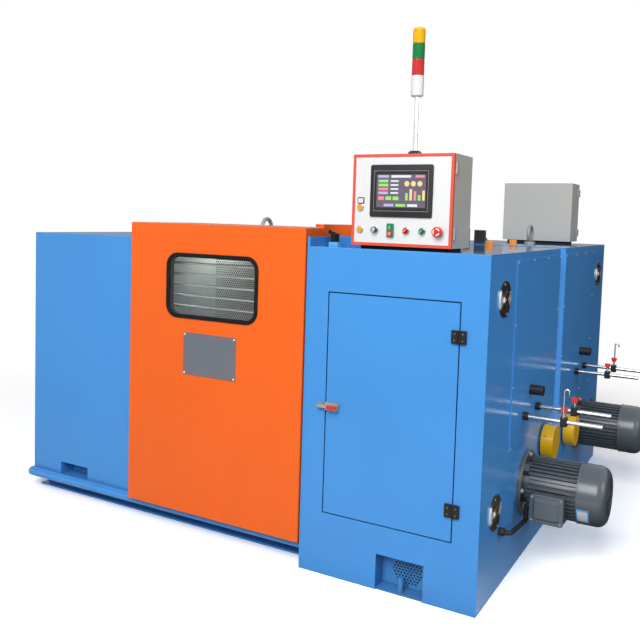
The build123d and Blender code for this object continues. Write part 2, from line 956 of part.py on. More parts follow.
def selector_grip(x, z):
    """The raised grip across a turn switch."""
    with BuildSketch(facing_operator(x, panel_face_y - selector_proud, z)) as grip:
        SlotOverall(selector_grip_length, selector_grip_width, rotation=45)
    extrude(grip.sketch, amount=selector_grip_proud)


with BuildPart() as button_bezels:
    for x, z in round_places:
        with BuildSketch(facing_operator(x, panel_face_y, z)):
            Circle(bezel_diameter / 2)
        extrude(amount=bezel_height)
    chamfer(button_bezels.edges().filter_by(GeomType.CIRCLE).group_by(Axis.Y)[0], bezel_height / 4)

with BuildPart() as orange_buttons:
    for x, z in round_places[:2]:
        button_cap(x, z, button_diameter, button_proud)
    fillet(orange_buttons.edges().filter_by(GeomType.CIRCLE).group_by(Axis.Y)[0], bezel_height / 4)

with BuildPart() as speed_knob:
    button_cap(control_x[1], row_z, button_diameter, button_proud + selector_grip_proud)
    fillet(speed_knob.edges().filter_by(GeomType.CIRCLE).group_by(Axis.Y)[0], bezel_height / 3)

with BuildPart() as start_stop_block:
    with BuildSketch(facing_operator(control_x[2], panel_face_y, row_z)):
        RectangleRounded(pair_block_width, pair_block_height, pair_block_width / 8)
    extrude(amount=pair_block_proud)

with BuildPart() as green_selector:
    button_cap(control_x[4], row_z, selector_diameter, selector_proud)
    selector_grip(control_x[4], row_z)

with BuildPart() as red_controls:
    with BuildSketch(facing_operator(control_x[5], panel_face_y, row_z)):
        Circle(stop_stem_diameter / 2)
    extrude(amount=stop_stem_length)
    with BuildSketch(facing_operator(control_x[5], panel_face_y - stop_stem_length, row_z)):
        Circle(stop_diameter / 2)
    extrude(amount=stop_head_thickness)
    fillet(red_controls.edges().filter_by(GeomType.CIRCLE).group_by(Axis.Y)[0], stop_edge)
    button_cap(control_x[3], row_z, selector_diameter, selector_proud)
    selector_grip(control_x[3], row_z)

# Signal tower on the control box
tower_x = box_left + tower_left


def tower_ring(low, high, diameter):
    """One round part of the tower between two heights."""
    with BuildSketch(Plane.XY.offset(low)) as ring:
        with Locations((tower_x, tower_y)):
            Circle(diameter / 2)
    extrude(ring.sketch, amount=high - low)


tower_pole_top = box_top + tower_base_height + tower_pole_length
lens_foot = tower_pole_top + tower_body_height
lens_lows = [lens_foot + i * tower_lens_height for i in range(tower_lens_count)]
with BuildPart() as tower_pole:
    tower_ring(box_top, box_top + tower_base_height, tower_base_diameter)
    chamfer(tower_pole.edges().filter_by(GeomType.CIRCLE).group_by(Axis.Z)[-1], tower_base_height / 3)
    tower_ring(box_top + tower_base_height, tower_pole_top, tower_pole_diameter)

with BuildPart() as tower_body:
    tower_ring(tower_pole_top, lens_lows[0], tower_diameter)
    chamfer(tower_body.edges().filter_by(GeomType.CIRCLE).group_by(Axis.Z)[0], tower_cap_radius / 2)


def make_lens(low):
    """A coloured lens with a narrow neck at its foot."""
    with BuildPart() as lens:
        tower_ring(low, low + tower_lens_gap, tower_neck_diameter)
        tower_ring(low + tower_lens_gap, low + tower_lens_height, tower_diameter)
    return lens


red_lens = make_lens(lens_lows[0])
green_lens = make_lens(lens_lows[1])
with BuildPart() as amber_lens:
    tower_ring(lens_lows[2], lens_lows[2] + tower_lens_gap, tower_neck_diameter)
    tower_ring(lens_lows[2] + tower_lens_gap, lens_lows[2] + tower_lens_height, tower_diameter)
    fillet(amber_lens.edges().filter_by(GeomType.CIRCLE).group_by(Axis.Z)[-1], tower_cap_radius)

# Roof fittings
with BuildPart() as lifting_eyes:
    eye_y = front + eye_inset
    for x in (x_end - eye_right_margin, x_end - eye_left_margin):
        with Locations((x, eye_y, body_height)):
            Cylinder(
                eye_base_diameter / 2,
                eye_base_height,
                align=(Align.CENTER, Align.CENTER, Align.MIN),
            )
        ring_z = body_height + eye_base_height + eye_ring_diameter / 2 - eye_bar_diameter / 4
        with Locations(Plane(origin=(x, eye_y, ring_z), z_dir=(1, 0, 0))):
            Torus((eye_ring_diameter - eye_bar_diameter) / 2, eye_bar_diameter / 2)
    twin()

with BuildPart() as top_caps:
    with BuildSketch(Plane.XY.offset(body_height)):
        with Locations((x_end - cap_right_margin, front + cap_inset)):
            Circle(cap_diameter / 2)
    extrude(amount=cap_height)
    chamfer(top_caps.edges().filter_by(GeomType.CIRCLE).group_by(Axis.Z)[-1], cap_edge)
    twin()

plug_x = x_end - plug_right_margin
switch_x = x_cabinet + switch_offset
switch_y = front + switch_inset
switch_foot = body_height + switch_bracket_height
switch_top = switch_foot + switch_body_height
lever_x = switch_x - lever_length
with BuildPart() as roof_switches:
    slab(
        (plug_x - plug_length / 2, plug_x + plug_length / 2),
        (front + plug_inset - plug_width / 2, front + plug_inset + plug_width / 2),
        (body_height, body_height + plug_height),
    )
    fillet(roof_switches.edges().filter_by(Axis.Z), plug_width / 8)
    slab(
        (switch_x - switch_bracket_width / 2, switch_x + switch_bracket_width / 2),
        (switch_y - switch_body_width / 2, switch_y + switch_body_width / 2),
        (body_height, switch_foot),
    )
    slab(
        (switch_x - switch_body_length / 2, switch_x + switch_body_length / 2),
        (switch_y - switch_body_width / 2, switch_y + switch_body_width / 2),
        (switch_foot, switch_top),
    )
    slab(
        (lever_x, switch_x),
        (switch_y - lever_thickness / 2, switch_y + lever_thickness / 2),
        (switch_top, switch_top + lever_thickness),
    )
    with BuildSketch(facing_operator(lever_x, switch_y + roller_width / 2, switch_top + lever_thickness)):
        Circle(roller_diameter / 2)
    extrude(amount=roller_width)
    twin()


def far_copy(piece, slid=0.0):
    """The far unit's own copy of a near piece, mirrored across the middle plane and slid along the rail."""
    with BuildPart() as copy:
        add(Pos(-slid, 0, 0) * mirror(piece.part, about=Plane.XZ, mode=Mode.PRIVATE))
    return copy


pieces = {
    "plinth_rails": plinth_rails,
    "cross_beams": cross_beams,
    "door_rails": door_rails,
    "floors": floors,
    "left_front_panels": left_front_panels,
    "recess_boxes": recess_boxes,
    "left_end_walls": left_end_walls,
    "back_walls": back_walls,
    "roofs": roofs,
    "chamber_linings": chamber_linings,
    "bulkheads": bulkheads,
    "cabinet_fronts": cabinet_fronts,
    "cabinet_tops": cabinet_tops,
    "end_plates": end_plates,
    "levelling_feet": levelling_feet,
    "sliding_door": sliding_door,
    "window_gasket": window_gasket,
    "window_glass": window_glass,
    "window_bars": window_bars,
    "far_sliding_door": far_copy(sliding_door, far_door_open),
    "far_window_gasket": far_copy(window_gasket, far_door_open),
    "far_window_glass": far_copy(window_glass, far_door_open),
    "cabinet_door": cabinet_door,
    "far_cabinet_door": far_copy(cabinet_door),
    "hinge_plates": hinge_plates,
    "hinge_leaves": hinge_leaves,
    "door_latch": door_latch,
    "latch_handle": latch_handle,
    "latch_keepers": latch_keepers,
    "access_panels": access_panels,
    "hole_covers": hole_covers,
    "motor_flanges": motor_flanges,
    "motor_frames": motor_frames,
    "fan_covers": fan_covers,
    "terminal_boxes": terminal_boxes,
    "conduits": conduits,
    "end_fittings": end_fittings,
    "brake_drums": brake_drums,
    "guide_rods": guide_rods,
    "clamp_knobs": clamp_knobs,
    "box_feet": box_feet,
    "control_box": control_box,
    "electrical_box": electrical_box,
    "box_hinges": box_hinges,
    "control_panel": control_panel,
    "touch_screen": touch_screen,
    "button_bezels": button_bezels,
    "orange_buttons": orange_buttons,
    "speed_knob": speed_knob,
    "start_stop_block": start_stop_block,
    "green_selector": green_selector,
    "red_controls": red_controls,
    "tower_pole": tower_pole,
    "tower_body": tower_body,
    "red_lens": red_lens,
    "green_lens": green_lens,
    "amber_lens": amber_lens,
    "lifting_eyes": lifting_eyes,
    "top_caps": top_caps,
    "roof_switches": roof_switches,
}

os.makedirs("parts", exist_ok=True)
for name, piece in pieces.items():
    piece.part.label = name
    export_step(piece.part, f"parts/{name}.step")
print(len(pieces), "pieces", round(overall_length), "mm long")
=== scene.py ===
"""Looks of the pair twisting machine: finishes, small fittings, light and camera. Sizes are metres."""
import math

import bmesh
import bpy
import numpy as np
from mathutils import Matrix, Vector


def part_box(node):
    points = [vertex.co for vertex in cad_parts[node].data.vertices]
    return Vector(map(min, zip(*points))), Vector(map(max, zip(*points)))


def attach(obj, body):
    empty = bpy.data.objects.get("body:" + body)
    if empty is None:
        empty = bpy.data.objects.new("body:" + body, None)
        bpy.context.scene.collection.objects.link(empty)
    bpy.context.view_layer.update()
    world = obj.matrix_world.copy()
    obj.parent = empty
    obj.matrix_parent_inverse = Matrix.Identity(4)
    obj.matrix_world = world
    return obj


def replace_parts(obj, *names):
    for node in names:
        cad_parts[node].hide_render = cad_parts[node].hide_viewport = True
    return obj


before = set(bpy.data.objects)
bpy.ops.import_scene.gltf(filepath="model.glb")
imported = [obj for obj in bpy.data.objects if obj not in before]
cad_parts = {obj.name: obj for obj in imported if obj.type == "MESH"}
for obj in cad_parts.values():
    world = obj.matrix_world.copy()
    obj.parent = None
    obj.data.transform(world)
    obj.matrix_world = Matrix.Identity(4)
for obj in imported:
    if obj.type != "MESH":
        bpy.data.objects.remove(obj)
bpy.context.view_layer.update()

# Planes of the machine, read from the frame
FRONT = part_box("cabinet_fronts")[0].y
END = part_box("cabinet_fronts")[1].x
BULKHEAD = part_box("bulkheads")[0].x
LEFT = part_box("left_end_walls")[0].x
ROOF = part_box("cabinet_tops")[1].z
DOOR_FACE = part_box("sliding_door")[0].y
PANEL_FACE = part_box("access_panels")[1].x
BOX_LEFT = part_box("control_box")[0].x

# Sizes of the solids that their boxes alone don't give
MIDDLE_GAP = 0.0625
COVER_RADIUS = 0.073
COVER_THICKNESS = 0.007
ACCESS_MARGIN = 0.004
HINGE_HEIGHT = 0.050
HINGE_PITCH = 0.0325
FLANGE_RADIUS = 0.150
FLANGE_THICKNESS = 0.018
FAN_RADIUS = 0.134
FAN_SHOULDER = 0.044
FAN_LIP = 0.0015
LID_RISE = 0.007
MOTOR_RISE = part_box("fan_covers")[1].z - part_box("fan_covers")[0].z - 2 * FAN_RADIUS
DRUM_RADIUS = 0.083
DRUM_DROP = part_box("brake_drums")[1].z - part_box("brake_drums")[0].z - 2 * DRUM_RADIUS
SOCKET_RADIUS = 0.023
SOCKET_MIDDLE = (FRONT + 0.687, 0.772)
SOCKET_RISE = 0.022
KNOB_STUD = 0.019
KNOB_RISE = 0.022
TOWER_FOOT = 0.020
BRACKET_HEIGHT = 0.0161
BRACKET_REACH = 0.120
STOP_RADIUS = 0.0205
CONTROL_PITCH = 0.068
WINDOW_RADIUS = 0.062
SHEET = 0.005
FOOT_LEFT = 0.364
FOOT_WIDTH = 0.208
FOOT_DEPTH = 0.072
FOOT_MIDDLE = 0.078
PANEL_BACK = 0.091
NOTCH_LEFT = 0.204
NOTCH_WIDTH = 0.196
NOTCH_HEIGHT = 0.070
NOTCH_DEPTH = 0.060
RIDGE_HEIGHT = 0.012

# Tones and light
# tone of dust specks and of the darkening near the floor, which in the recess is painted shade
DUST_AND_SHADE = (0.16, 0.14, 0.11)
LENS_TINTS = {
    "red_lens": (0.62, 0.034, 0.032),
    "green_lens": (0.004, 0.215, 0.055),
    "amber_lens": (0.95, 0.48, 0.0),
}
SCREEN_TINTS = (
    (0.52, 0.47, 0.80),
    (0.95, 0.72, 0.30),
    (0.35, 0.80, 0.16),
    (0.92, 0.26, 0.32),
    (0.85, 0.82, 0.90),
    (0.13, 0.11, 0.16),
)
AMBIENT = 0.36
FLOOR_SEEN = 1.6
FLOOR_PLAIN = 0.3
DIM_SIDE = 0.97
DIM_HORIZON = 0.68

# Camera, fitted to the photograph
CAMERA_PLACE = (END + 0.845, FRONT - 2.874, 1.520)
CAMERA_YAW = 29.98
CAMERA_PITCH = 3.87
CAMERA_ROLL = 1.65
CAMERA_LENS = 43.94
CAMERA_SHIFT = (0.0277, -0.0777)
SENSOR = 36.0


class Value:
    """A shader socket read as a number: operators and the named steps each add one node."""

    def __init__(self, finish, socket):
        self.finish = finish
        self.socket = socket

    def step(self, operation, first, second=0.0):
        return self.finish.node("ShaderNodeMath", {"operation": operation}, {0: first, 1: second})

    def __add__(self, other):
        return self.step("ADD", self, other)

    def __sub__(self, other):
        return self.step("SUBTRACT", self, other)

    def __rsub__(self, other):
        return self.step("SUBTRACT", other, self)

    def __mul__(self, other):
        return self.step("MULTIPLY", self, other)

    def __truediv__(self, other):
        return self.step("DIVIDE", self, other)

    __radd__ = __add__
    __rmul__ = __mul__

    def size(self):
        return self.step("ABSOLUTE", self)

    def over(self, limit):
        return self.step("GREATER_THAN", self, limit)

    def under(self, limit):
        return self.step("LESS_THAN", self, limit)

    def either(self, other):
        return self.step("MAXIMUM", self, other)

    def wave(self):
        return self.step("SINE", self)

    def root(self):
        return self.step("SQRT", self)

    def ease(self, low, high):
        """Smooth step from 0 at low to 1 at high."""
        ends = {"Value": self, "From Min": low, "From Max": high}
        return self.finish.node("ShaderNodeMapRange", {"interpolation_type": "SMOOTHSTEP"}, ends)

    def output(self, name):
        return Value(self.finish, self.socket.node.outputs[name])


class Finish:
    """One material: node() adds any node, paint() ends it in a Principled shader."""

    def __init__(self, name):
        self.material = bpy.data.materials.new(name)
        self.material.use_nodes = True
        self.start(self.material.node_tree)

    def start(self, tree):
        """Takes an emptied node tree, a material's or the world's."""
        self.tree = tree
        self.tree.nodes.clear()
        self.place = self.node("ShaderNodeTexCoord", output="Object")
        return self

    @classmethod
    def of_tree(cls, tree):
        made = cls.__new__(cls)
        made.material = None
        return made.start(tree)

    def node(self, kind, settings=None, sockets=None, output=0):
        """Adds a node: its settings first, then each socket's value or link; gives one output."""
        made = self.tree.nodes.new(kind)
        for key, value in (settings or {}).items():
            setattr(made, key, value)
        for key, value in (sockets or {}).items():
            if isinstance(value, Value):
                self.tree.links.new(value.socket, made.inputs[key])
            else:
                made.inputs[key].default_value = value
        return None if output is None else Value(self, made.outputs[output])

    def axes(self):
        """The three Object coordinates as numbers."""
        split = self.node("ShaderNodeSeparateXYZ", {}, {0: self.place})
        return split, split.output("Y"), split.output("Z")

    def noise(self, scale, detail=3.0, stretch=(1.0, 1.0, 1.0)):
        """Noise from 0 to 1 with so many bumps to the metre, drawn out along an axis by a small stretch."""
        place = self.node("ShaderNodeVectorMath", {"operation": "MULTIPLY"}, {0: self.place, 1: stretch})
        return self.node("ShaderNodeTexNoise", {}, {"Vector": place, "Scale": scale, "Detail": detail})

    def mix(self, share, first, second):
        """A colour between two colours."""
        pair = {0: share}
        for socket, colour in ((6, first), (7, second)):
            pair[socket] = colour if isinstance(colour, Value) else (*colour, 1.0)
        return self.node("ShaderNodeMix", {"data_type": "RGBA"}, pair, output=2)

    def bump(self, height, depth, strength=1.0, normal=None):
        """A normal tilted by a height field of the given depth in metres."""
        sockets = {"Height": height, "Distance": depth, "Strength": strength}
        if normal is not None:
            sockets["Normal"] = normal
        return self.node("ShaderNodeBump", {}, sockets)

    def rounded(self, radius):
        """The normal of edges rounded by a radius."""
        return self.node("ShaderNodeBevel", {"samples": 6}, {"Radius": radius})

    def rim(self, rounded):
        """A mask that is 1 where a rounded normal leans away from the face's own."""
        flat = self.node("ShaderNodeNewGeometry", output="True Normal")
        pair = {0: rounded, 1: flat}
        along = self.node("ShaderNodeVectorMath", {"operation": "DOT_PRODUCT"}, pair, output="Value")
        return (1.0 - along).ease(0.01, 0.22)

    def end(self, shader, kind="ShaderNodeOutputMaterial"):
        """Links a shader to the tree's output and gives the material."""
        self.node(kind, {}, {"Surface": shader}, output=None)
        return self.material

    def paint(self, **sockets):
        """Ends the material in a Principled shader; underscores stand for the spaces in socket names."""
        named = {}
        for key, value in sockets.items():
            colour = key.endswith("Color") and not isinstance(value, Value)
            named[key.replace("_", " ")] = (*value, 1.0) if colour else value
        return self.end(self.node("ShaderNodeBsdfPrincipled", {}, named))


def enamel(name, colour, rough=0.2, edge=0.002, peel=0.00006, dust_and_shade=0.3, shine=0.5, corner_shade=0.25):
    """Sprayed enamel: faint clouding, orange peel and soft edges, with a painted highlight along the edges,
    painted shade in corners, and darkening near the floor that stands for dust and, at a high share, for
    painted shade in a recess.
    """
    finish = Finish(name)
    height = finish.axes()[2]
    clouds = finish.noise(1.7, 4.0)
    fine = finish.noise(420.0, 2.0)
    specks = finish.noise(95.0, 2.0).ease(0.70, 0.78)
    rounded = finish.rounded(edge)
    # paler copy of the colour, used for the painted edge highlight
    pale = tuple(min(1.0, c * 1.12 + 0.015) for c in colour)
    deep = tuple(c * 0.95 for c in colour)
    tone = finish.mix(clouds.ease(0.3, 0.7), deep, colour)
    # painted highlight: rounded edges are mixed toward the paler colour
    tone = finish.mix(finish.rim(rounded) * 0.35, tone, pale)
    # darker towards the floor: dust, and at the recess enamel's high share painted shade
    low = (1.0 - height.ease(0.0, 0.35)) * finish.noise(6.0, 5.0).ease(0.35, 0.75) * dust_and_shade
    tone = finish.mix((low + specks * 0.25) * 0.5, tone, DUST_AND_SHADE)
    # painted shade: the colour darkens toward a near-black where ambient occlusion finds corners, gaps and
    # recesses
    corner_shade_mask = 1.0 - finish.node("ShaderNodeAmbientOcclusion", {"samples": 4}, {"Distance": 0.1}, output="AO")
    tone = finish.mix(corner_shade_mask * corner_shade, tone, tuple(c * 0.12 for c in colour))
    roughness = rough + clouds * 0.06 + fine * 0.03 + low * 0.35
    normal = finish.bump(fine + finish.noise(60.0, 2.0) * 0.5, peel, 0.6, rounded)
    return finish.paint(Base_Color=tone, Roughness=roughness, Normal=normal, Specular_IOR_Level=shine)


def moulded(name, colour, rough=0.35, grain=900.0, depth=0.00004, shine=0.5):
    """Moulded plastic or rubber: a fine even grain, slight rubbing of the surface and a painted highlight
    along the edges.
    """
    finish = Finish(name)
    rub = finish.noise(18.0, 4.0).ease(0.35, 0.75)
    fine = finish.noise(grain, 2.0)
    pale = tuple(min(1.0, c * 1.2 + 0.01) for c in colour)
    tone = finish.mix(rub * 0.5, colour, pale)
    rounded = finish.rounded(0.0012)
    # painted highlight: rounded edges are mixed toward the paler colour
    tone = finish.mix(finish.rim(rounded) * 0.3, tone, pale)
    normal = finish.bump(fine, depth, 0.5, rounded)
    roughness = rough + rub * 0.1
    return finish.paint(Base_Color=tone, Roughness=roughness, Normal=normal, Specular_IOR_Level=shine)


def steel(name, colour, rough=0.18, stretch=(1.0, 1.0, 1.0), lines=260.0, metal=1.0):
    """Bare metal: lines of polishing drawn out along one axis, with faint smears."""
    finish = Finish(name)
    smears = finish.noise(14.0, 4.0).ease(0.35, 0.7)
    grain = finish.noise(lines, 3.0, stretch)
    dark = tuple(c * 0.82 for c in colour)
    tone = finish.mix(smears * 0.6, colour, dark)
    normal = finish.bump(grain, 0.00003, 0.5, finish.rounded(0.001))
    roughness = rough + grain * 0.10 + smears * 0.06
    return finish.paint(Base_Color=tone, Roughness=roughness, Metallic=metal, Normal=normal)


blue = enamel("blue_enamel", (0.068, 0.325, 0.790), rough=0.11, shine=0.2)
# the same blue enamel with only a little painted corner shade, for the end plates and access panels
end_blue = enamel("end_enamel", (0.068, 0.325, 0.790), rough=0.11, shine=0.2, corner_shade=0.04)
# darker copy of the blue enamel for the cabinet tops: painted shade on the tops
shaded_roof_blue = enamel("shaded_roof_enamel", (0.062, 0.270, 0.640), rough=0.0, peel=0.00001, shine=0.5, dust_and_shade=0.0)
# darker copy of the blue enamel with strong corner and floor darkening: painted shade for the foot recess,
# the levelling feet and the vent sheets
shaded_blue = enamel("shaded_recess_enamel", (0.066, 0.290, 0.660), rough=0.25, shine=0.2, corner_shade=0.35, dust_and_shade=0.9)
orange = enamel("orange_enamel", (0.97, 0.150, 0.018), rough=0.18, shine=0.15)
grey = enamel("grey_powder_coat", (0.52, 0.51, 0.46), rough=0.42, peel=0.00012)
motor_grey = enamel("motor_enamel", (0.084, 0.101, 0.117), rough=0.22, edge=0.0015, dust_and_shade=0.2)
yellow = enamel("yellow_enamel", (0.95, 0.52, 0.004), rough=0.18, corner_shade=0.1)
black = moulded("black_plastic", (0.012, 0.012, 0.014), 0.4, shine=0.3)
black_steel = moulded("black_steel", (0.009, 0.009, 0.010), 0.5, 500.0, 0.00008, 0.2)
rubber = moulded("window_rubber", (0.007, 0.007, 0.008), 0.5, shine=0.12)
red = moulded("red_plastic", (0.62, 0.016, 0.014), 0.25)
amber = moulded("orange_plastic", (0.95, 0.30, 0.006), 0.22)
green = moulded("green_plastic", (0.008, 0.23, 0.085), 0.28)
white = moulded("white_plastic", (0.74, 0.74, 0.72), 0.32)
bright = steel("bright_steel", (0.54, 0.55, 0.56), 0.10, (0.02, 1.0, 1.0))
zinc = steel("zinc_plate", (0.62, 0.61, 0.58), 0.28)
dull = steel("dull_zinc", (0.36, 0.36, 0.34), 0.45, metal=0.3)
brown = steel("brown_screws", (0.20, 0.16, 0.11), 0.4)
lining = steel("lining_steel", (0.58, 0.58, 0.50), 0.30, (1.0, 1.0, 0.02), metal=0.55)


def spun_steel():
    """Steel covers turned on a lathe, with a painted reflection: the colour is pale where a line to the
    middle lies level or upright, dark between.
    """
    finish = Finish("spun_steel")
    y, z = finish.axes()[1:]
    low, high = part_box("hole_covers")
    across = y.size() + low.y + COVER_RADIUS
    half = (low.z + high.z) / 2
    apart = (high.z - low.z) / 2 - COVER_RADIUS
    upright = (z - half).size() - apart
    reach = (across * across + upright * upright).root()
    level = across.size() / (reach + 0.001)
    rings = (reach * (2 * math.pi / 0.004)).wave() * 0.05
    streaks = finish.noise(70.0, 4.0) * 0.24 - 0.12
    beside = (level + rings + streaks).ease(0.86, 1.0)
    above = (1.0 - level + streaks).ease(0.93, 1.1) * 0.5
    # painted reflection: the bow-tie highlight of a turned disc drawn into the colour
    painted_glint = beside.either(above)
    tone = finish.mix(painted_glint, (0.060, 0.045, 0.036), (0.82, 0.79, 0.74))
    return finish.paint(Base_Color=tone, Roughness=0.28 + painted_glint * 0.2, Metallic=0.55)


def window_pane():
    """Clear pane: see-through, mirror-like at a slant on the way in only, with faint smears."""
    finish = Finish("window_pane")
    smears = finish.noise(9.0, 5.0).ease(0.5, 0.8)
    clear = finish.node("ShaderNodeBsdfTransparent", {}, {"Color": (0.86, 0.91, 0.90, 1.0)})
    shine = finish.node("ShaderNodeBsdfGlossy", {}, {"Color": (1, 1, 1, 1), "Roughness": 0.03})
    slant = finish.node("ShaderNodeFresnel", {}, {"IOR": 1.5})
    leaving = finish.node("ShaderNodeNewGeometry", output="Backfacing")
    share = (slant + smears * 0.02) * (1.0 - leaving)
    return finish.end(finish.node("ShaderNodeMixShader", {}, {0: share, 1: clear, 2: shine}))


def operator_panel_face():
    """Satin silver panel with a printed border: the border is everything near the panel's edges."""
    finish = Finish("operator_panel_face")
    x, _, z = finish.axes()
    low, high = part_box("control_panel")
    border = 0.0125
    across = (x - (low.x + high.x) / 2).size().over((high.x - low.x) / 2 - border)
    upright = (z - (low.z + high.z) / 2).size().over((high.z - low.z) / 2 - border)
    edge = across.either(upright)
    grain = finish.noise(500.0, 2.0, (1.0, 1.0, 0.04))
    silver = finish.mix(grain, (0.70, 0.71, 0.72), (0.80, 0.81, 0.82))
    tone = finish.mix(edge, silver, (0.76, 0.088, 0.045))
    normal = finish.bump(grain, 0.00002, 0.4, finish.rounded(0.0015))
    metal = (1.0 - edge) * 0.25
    return finish.paint(Base_Color=tone, Roughness=0.36 + grain * 0.08, Metallic=metal, Normal=normal)


def tower_stem():
    """Black foot below a height and bright tube above it."""
    finish = Finish("tower_stem")
    tube = finish.axes()[2].over(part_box("tower_pole")[0].z + TOWER_FOOT)
    grain = finish.noise(300.0, 2.0)
    tone = finish.mix(tube, (0.012, 0.012, 0.013), (0.78, 0.78, 0.78))
    tone = finish.mix(finish.noise(20.0).ease(0.4, 0.8) * 0.25, tone, (0.05, 0.05, 0.05))
    normal = finish.bump(grain, 0.00003, 0.4)
    return finish.paint(Base_Color=tone, Roughness=0.2 + grain * 0.08, Metallic=tube, Normal=normal)


def roof_switch():
    """Black plastic, but for the blue brackets under the switches that stand next to the bulkhead."""
    finish = Finish("roof_switch")
    x, _, z = finish.axes()
    bracket = z.under(ROOF + BRACKET_HEIGHT) * x.under(BULKHEAD + BRACKET_REACH)
    grain = finish.noise(300.0, 2.0)
    tone = finish.mix(bracket, (0.012, 0.012, 0.013), (0.13, 0.45, 0.93))
    tone = finish.mix(finish.noise(20.0).ease(0.4, 0.8) * 0.25, tone, (0.03, 0.03, 0.03))
    normal = finish.bump(grain, 0.00003, 0.4)
    roughness = 0.35 + grain * 0.08
    return finish.paint(Base_Color=tone, Roughness=roughness, Normal=normal, Specular_IOR_Level=0.25)


def wing_knob():
    """Red wing on a bare stud: red above the stud's top, which lies higher on the far unit."""
    finish = Finish("wing_knob")
    y, z = finish.axes()[1:]
    rise = y.over(0.0) * KNOB_RISE
    wing = (z - rise).over(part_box("clamp_knobs")[0].z + KNOB_STUD)
    rub = finish.noise(60.0, 3.0).ease(0.4, 0.8)
    tone = finish.mix(wing, (0.62, 0.62, 0.60), (0.82, 0.026, 0.018))
    tone = finish.mix(rub * 0.25, tone, (0.25, 0.02, 0.02))
    return finish.paint(Base_Color=tone, Roughness=0.22 + rub * 0.1, Metallic=1.0 - wing)


FINISHES = {
    blue: "plinth_rails cross_beams door_rails floors left_front_panels left_end_walls "
    "back_walls roofs bulkheads cabinet_fronts cabinet_door far_cabinet_door",
    shaded_roof_blue: "cabinet_tops",
    end_blue: "end_plates access_panels",
    shaded_blue: "levelling_feet recess_boxes",
    orange: "sliding_door far_sliding_door",
    grey: "control_box electrical_box",
    operator_panel_face(): "control_panel",
    motor_grey: "motor_flanges motor_frames fan_covers terminal_boxes",
    yellow: "brake_drums",
    lining: "chamber_linings",
    bright: "guide_rods button_bezels",
    zinc: "window_bars",
    dull: "lifting_eyes box_hinges door_latch latch_keepers",
    spun_steel(): "hole_covers",
    black_steel: "box_feet hinge_plates hinge_leaves",
    black: "end_fittings conduits speed_knob touch_screen",
    roof_switch(): "roof_switches",
    tower_stem(): "tower_pole",
    rubber: "window_gasket far_window_gasket",
    window_pane(): "window_glass far_window_glass",
    red: "red_controls latch_handle red_lens",
    wing_knob(): "clamp_knobs",
    amber: "orange_buttons top_caps amber_lens",
    green: "green_selector start_stop_block green_lens",
    white: "tower_body",
}
for material, names in FINISHES.items():
    for name in names.split():
        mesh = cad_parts[name].data
        mesh.materials.clear()
        mesh.materials.append(material)


# Axes of a local grid, as rows: across the face, up the face and out of it
FACING = {
    "operator": np.array([(1, 0, 0), (0, 0, 1), (0, -1, 0)], float),
    "end": np.array([(0, 1, 0), (0, 0, 1), (1, 0, 0)], float),
    "up": np.eye(3),
}
MIRROR = np.array([1.0, -1.0, 1.0])
MERGE = 1e-6
HAIR = 0.0004


def put(local, facing, places):
    """Carries a local grid to each place: the place plus the grid turned to face a side."""
    places = np.atleast_2d(np.asarray(places, float))
    return places[:, None, None, :] + (local @ FACING[facing])[None]


def quads(rows, columns, closed):
    """Corner numbers of a grid's faces; a closed grid joins its last column to its first."""
    row, column = np.meshgrid(np.arange(rows - 1), np.arange(columns - (not closed)), indexing="ij")
    after = (column + 1) % columns
    low, high = row * columns, (row + 1) * columns
    return np.stack([low + column, low + after, high + after, high + column], -1).reshape(-1, 4)


def weld(mesh, shell):
    """Merges points that fall together at poles and seams, turns shells outwards, smooths round parts."""
    work = bmesh.new()
    work.from_mesh(mesh)
    bmesh.ops.remove_doubles(work, verts=work.verts, dist=MERGE)
    if shell:
        bmesh.ops.recalc_face_normals(work, faces=work.faces)
    work.to_mesh(mesh)
    work.free()
    mesh.shade_smooth()
    mesh.set_sharp_from_angle(angle=math.radians(35.0))


def piece(name, grids, finish, body, closed=True, twin=None, shell=True, tints=None):
    """One mesh from grids shaped (copies, rows, columns, 3); a twin repeats it on the far unit, at a rise."""
    if twin is not None:
        grids = grids + [(grid * MIRROR)[:, :, ::-1] + (0.0, 0.0, twin) for grid in grids]
    points, faces, start = [], [], 0
    for grid in grids:
        copies, rows, columns = grid.shape[:3]
        first = start + np.arange(copies) * rows * columns
        faces.append((quads(rows, columns, closed)[None] + first[:, None, None]).reshape(-1, 4))
        points.append(grid.reshape(-1, 3))
        start += copies * rows * columns
    mesh = bpy.data.meshes.new(name)
    mesh.from_pydata(np.concatenate(points).tolist(), [], np.concatenate(faces).tolist())
    if tints is None:
        weld(mesh, shell)
    else:
        tint = mesh.attributes.new("tint", "FLOAT_COLOR", "POINT")
        tint.data.foreach_set("color", np.asarray(tints, np.float32).ravel())
    mesh.materials.append(finish)
    made = bpy.data.objects.new(name, mesh)
    bpy.context.collection.objects.link(made)
    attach(made, body)
    return made


def turned(profile, steps=24, hexagon=()):
    """Profile of (radius, height) carried round the out axis; the named rows follow a hexagon instead."""
    angle = np.arange(steps) * 2 * np.pi / steps
    radius, height = np.array(profile, float).T
    ring = np.stack([np.cos(angle), np.sin(angle)], -1)
    flat = radius[:, None, None] * ring[None]
    sixths = np.cos(np.pi / 6) / np.cos(angle % (np.pi / 3) - np.pi / 6)
    flat[list(hexagon)] *= sixths[None, :, None]
    return np.concatenate([flat, np.broadcast_to(height[:, None, None], flat.shape[:2] + (1,))], -1)


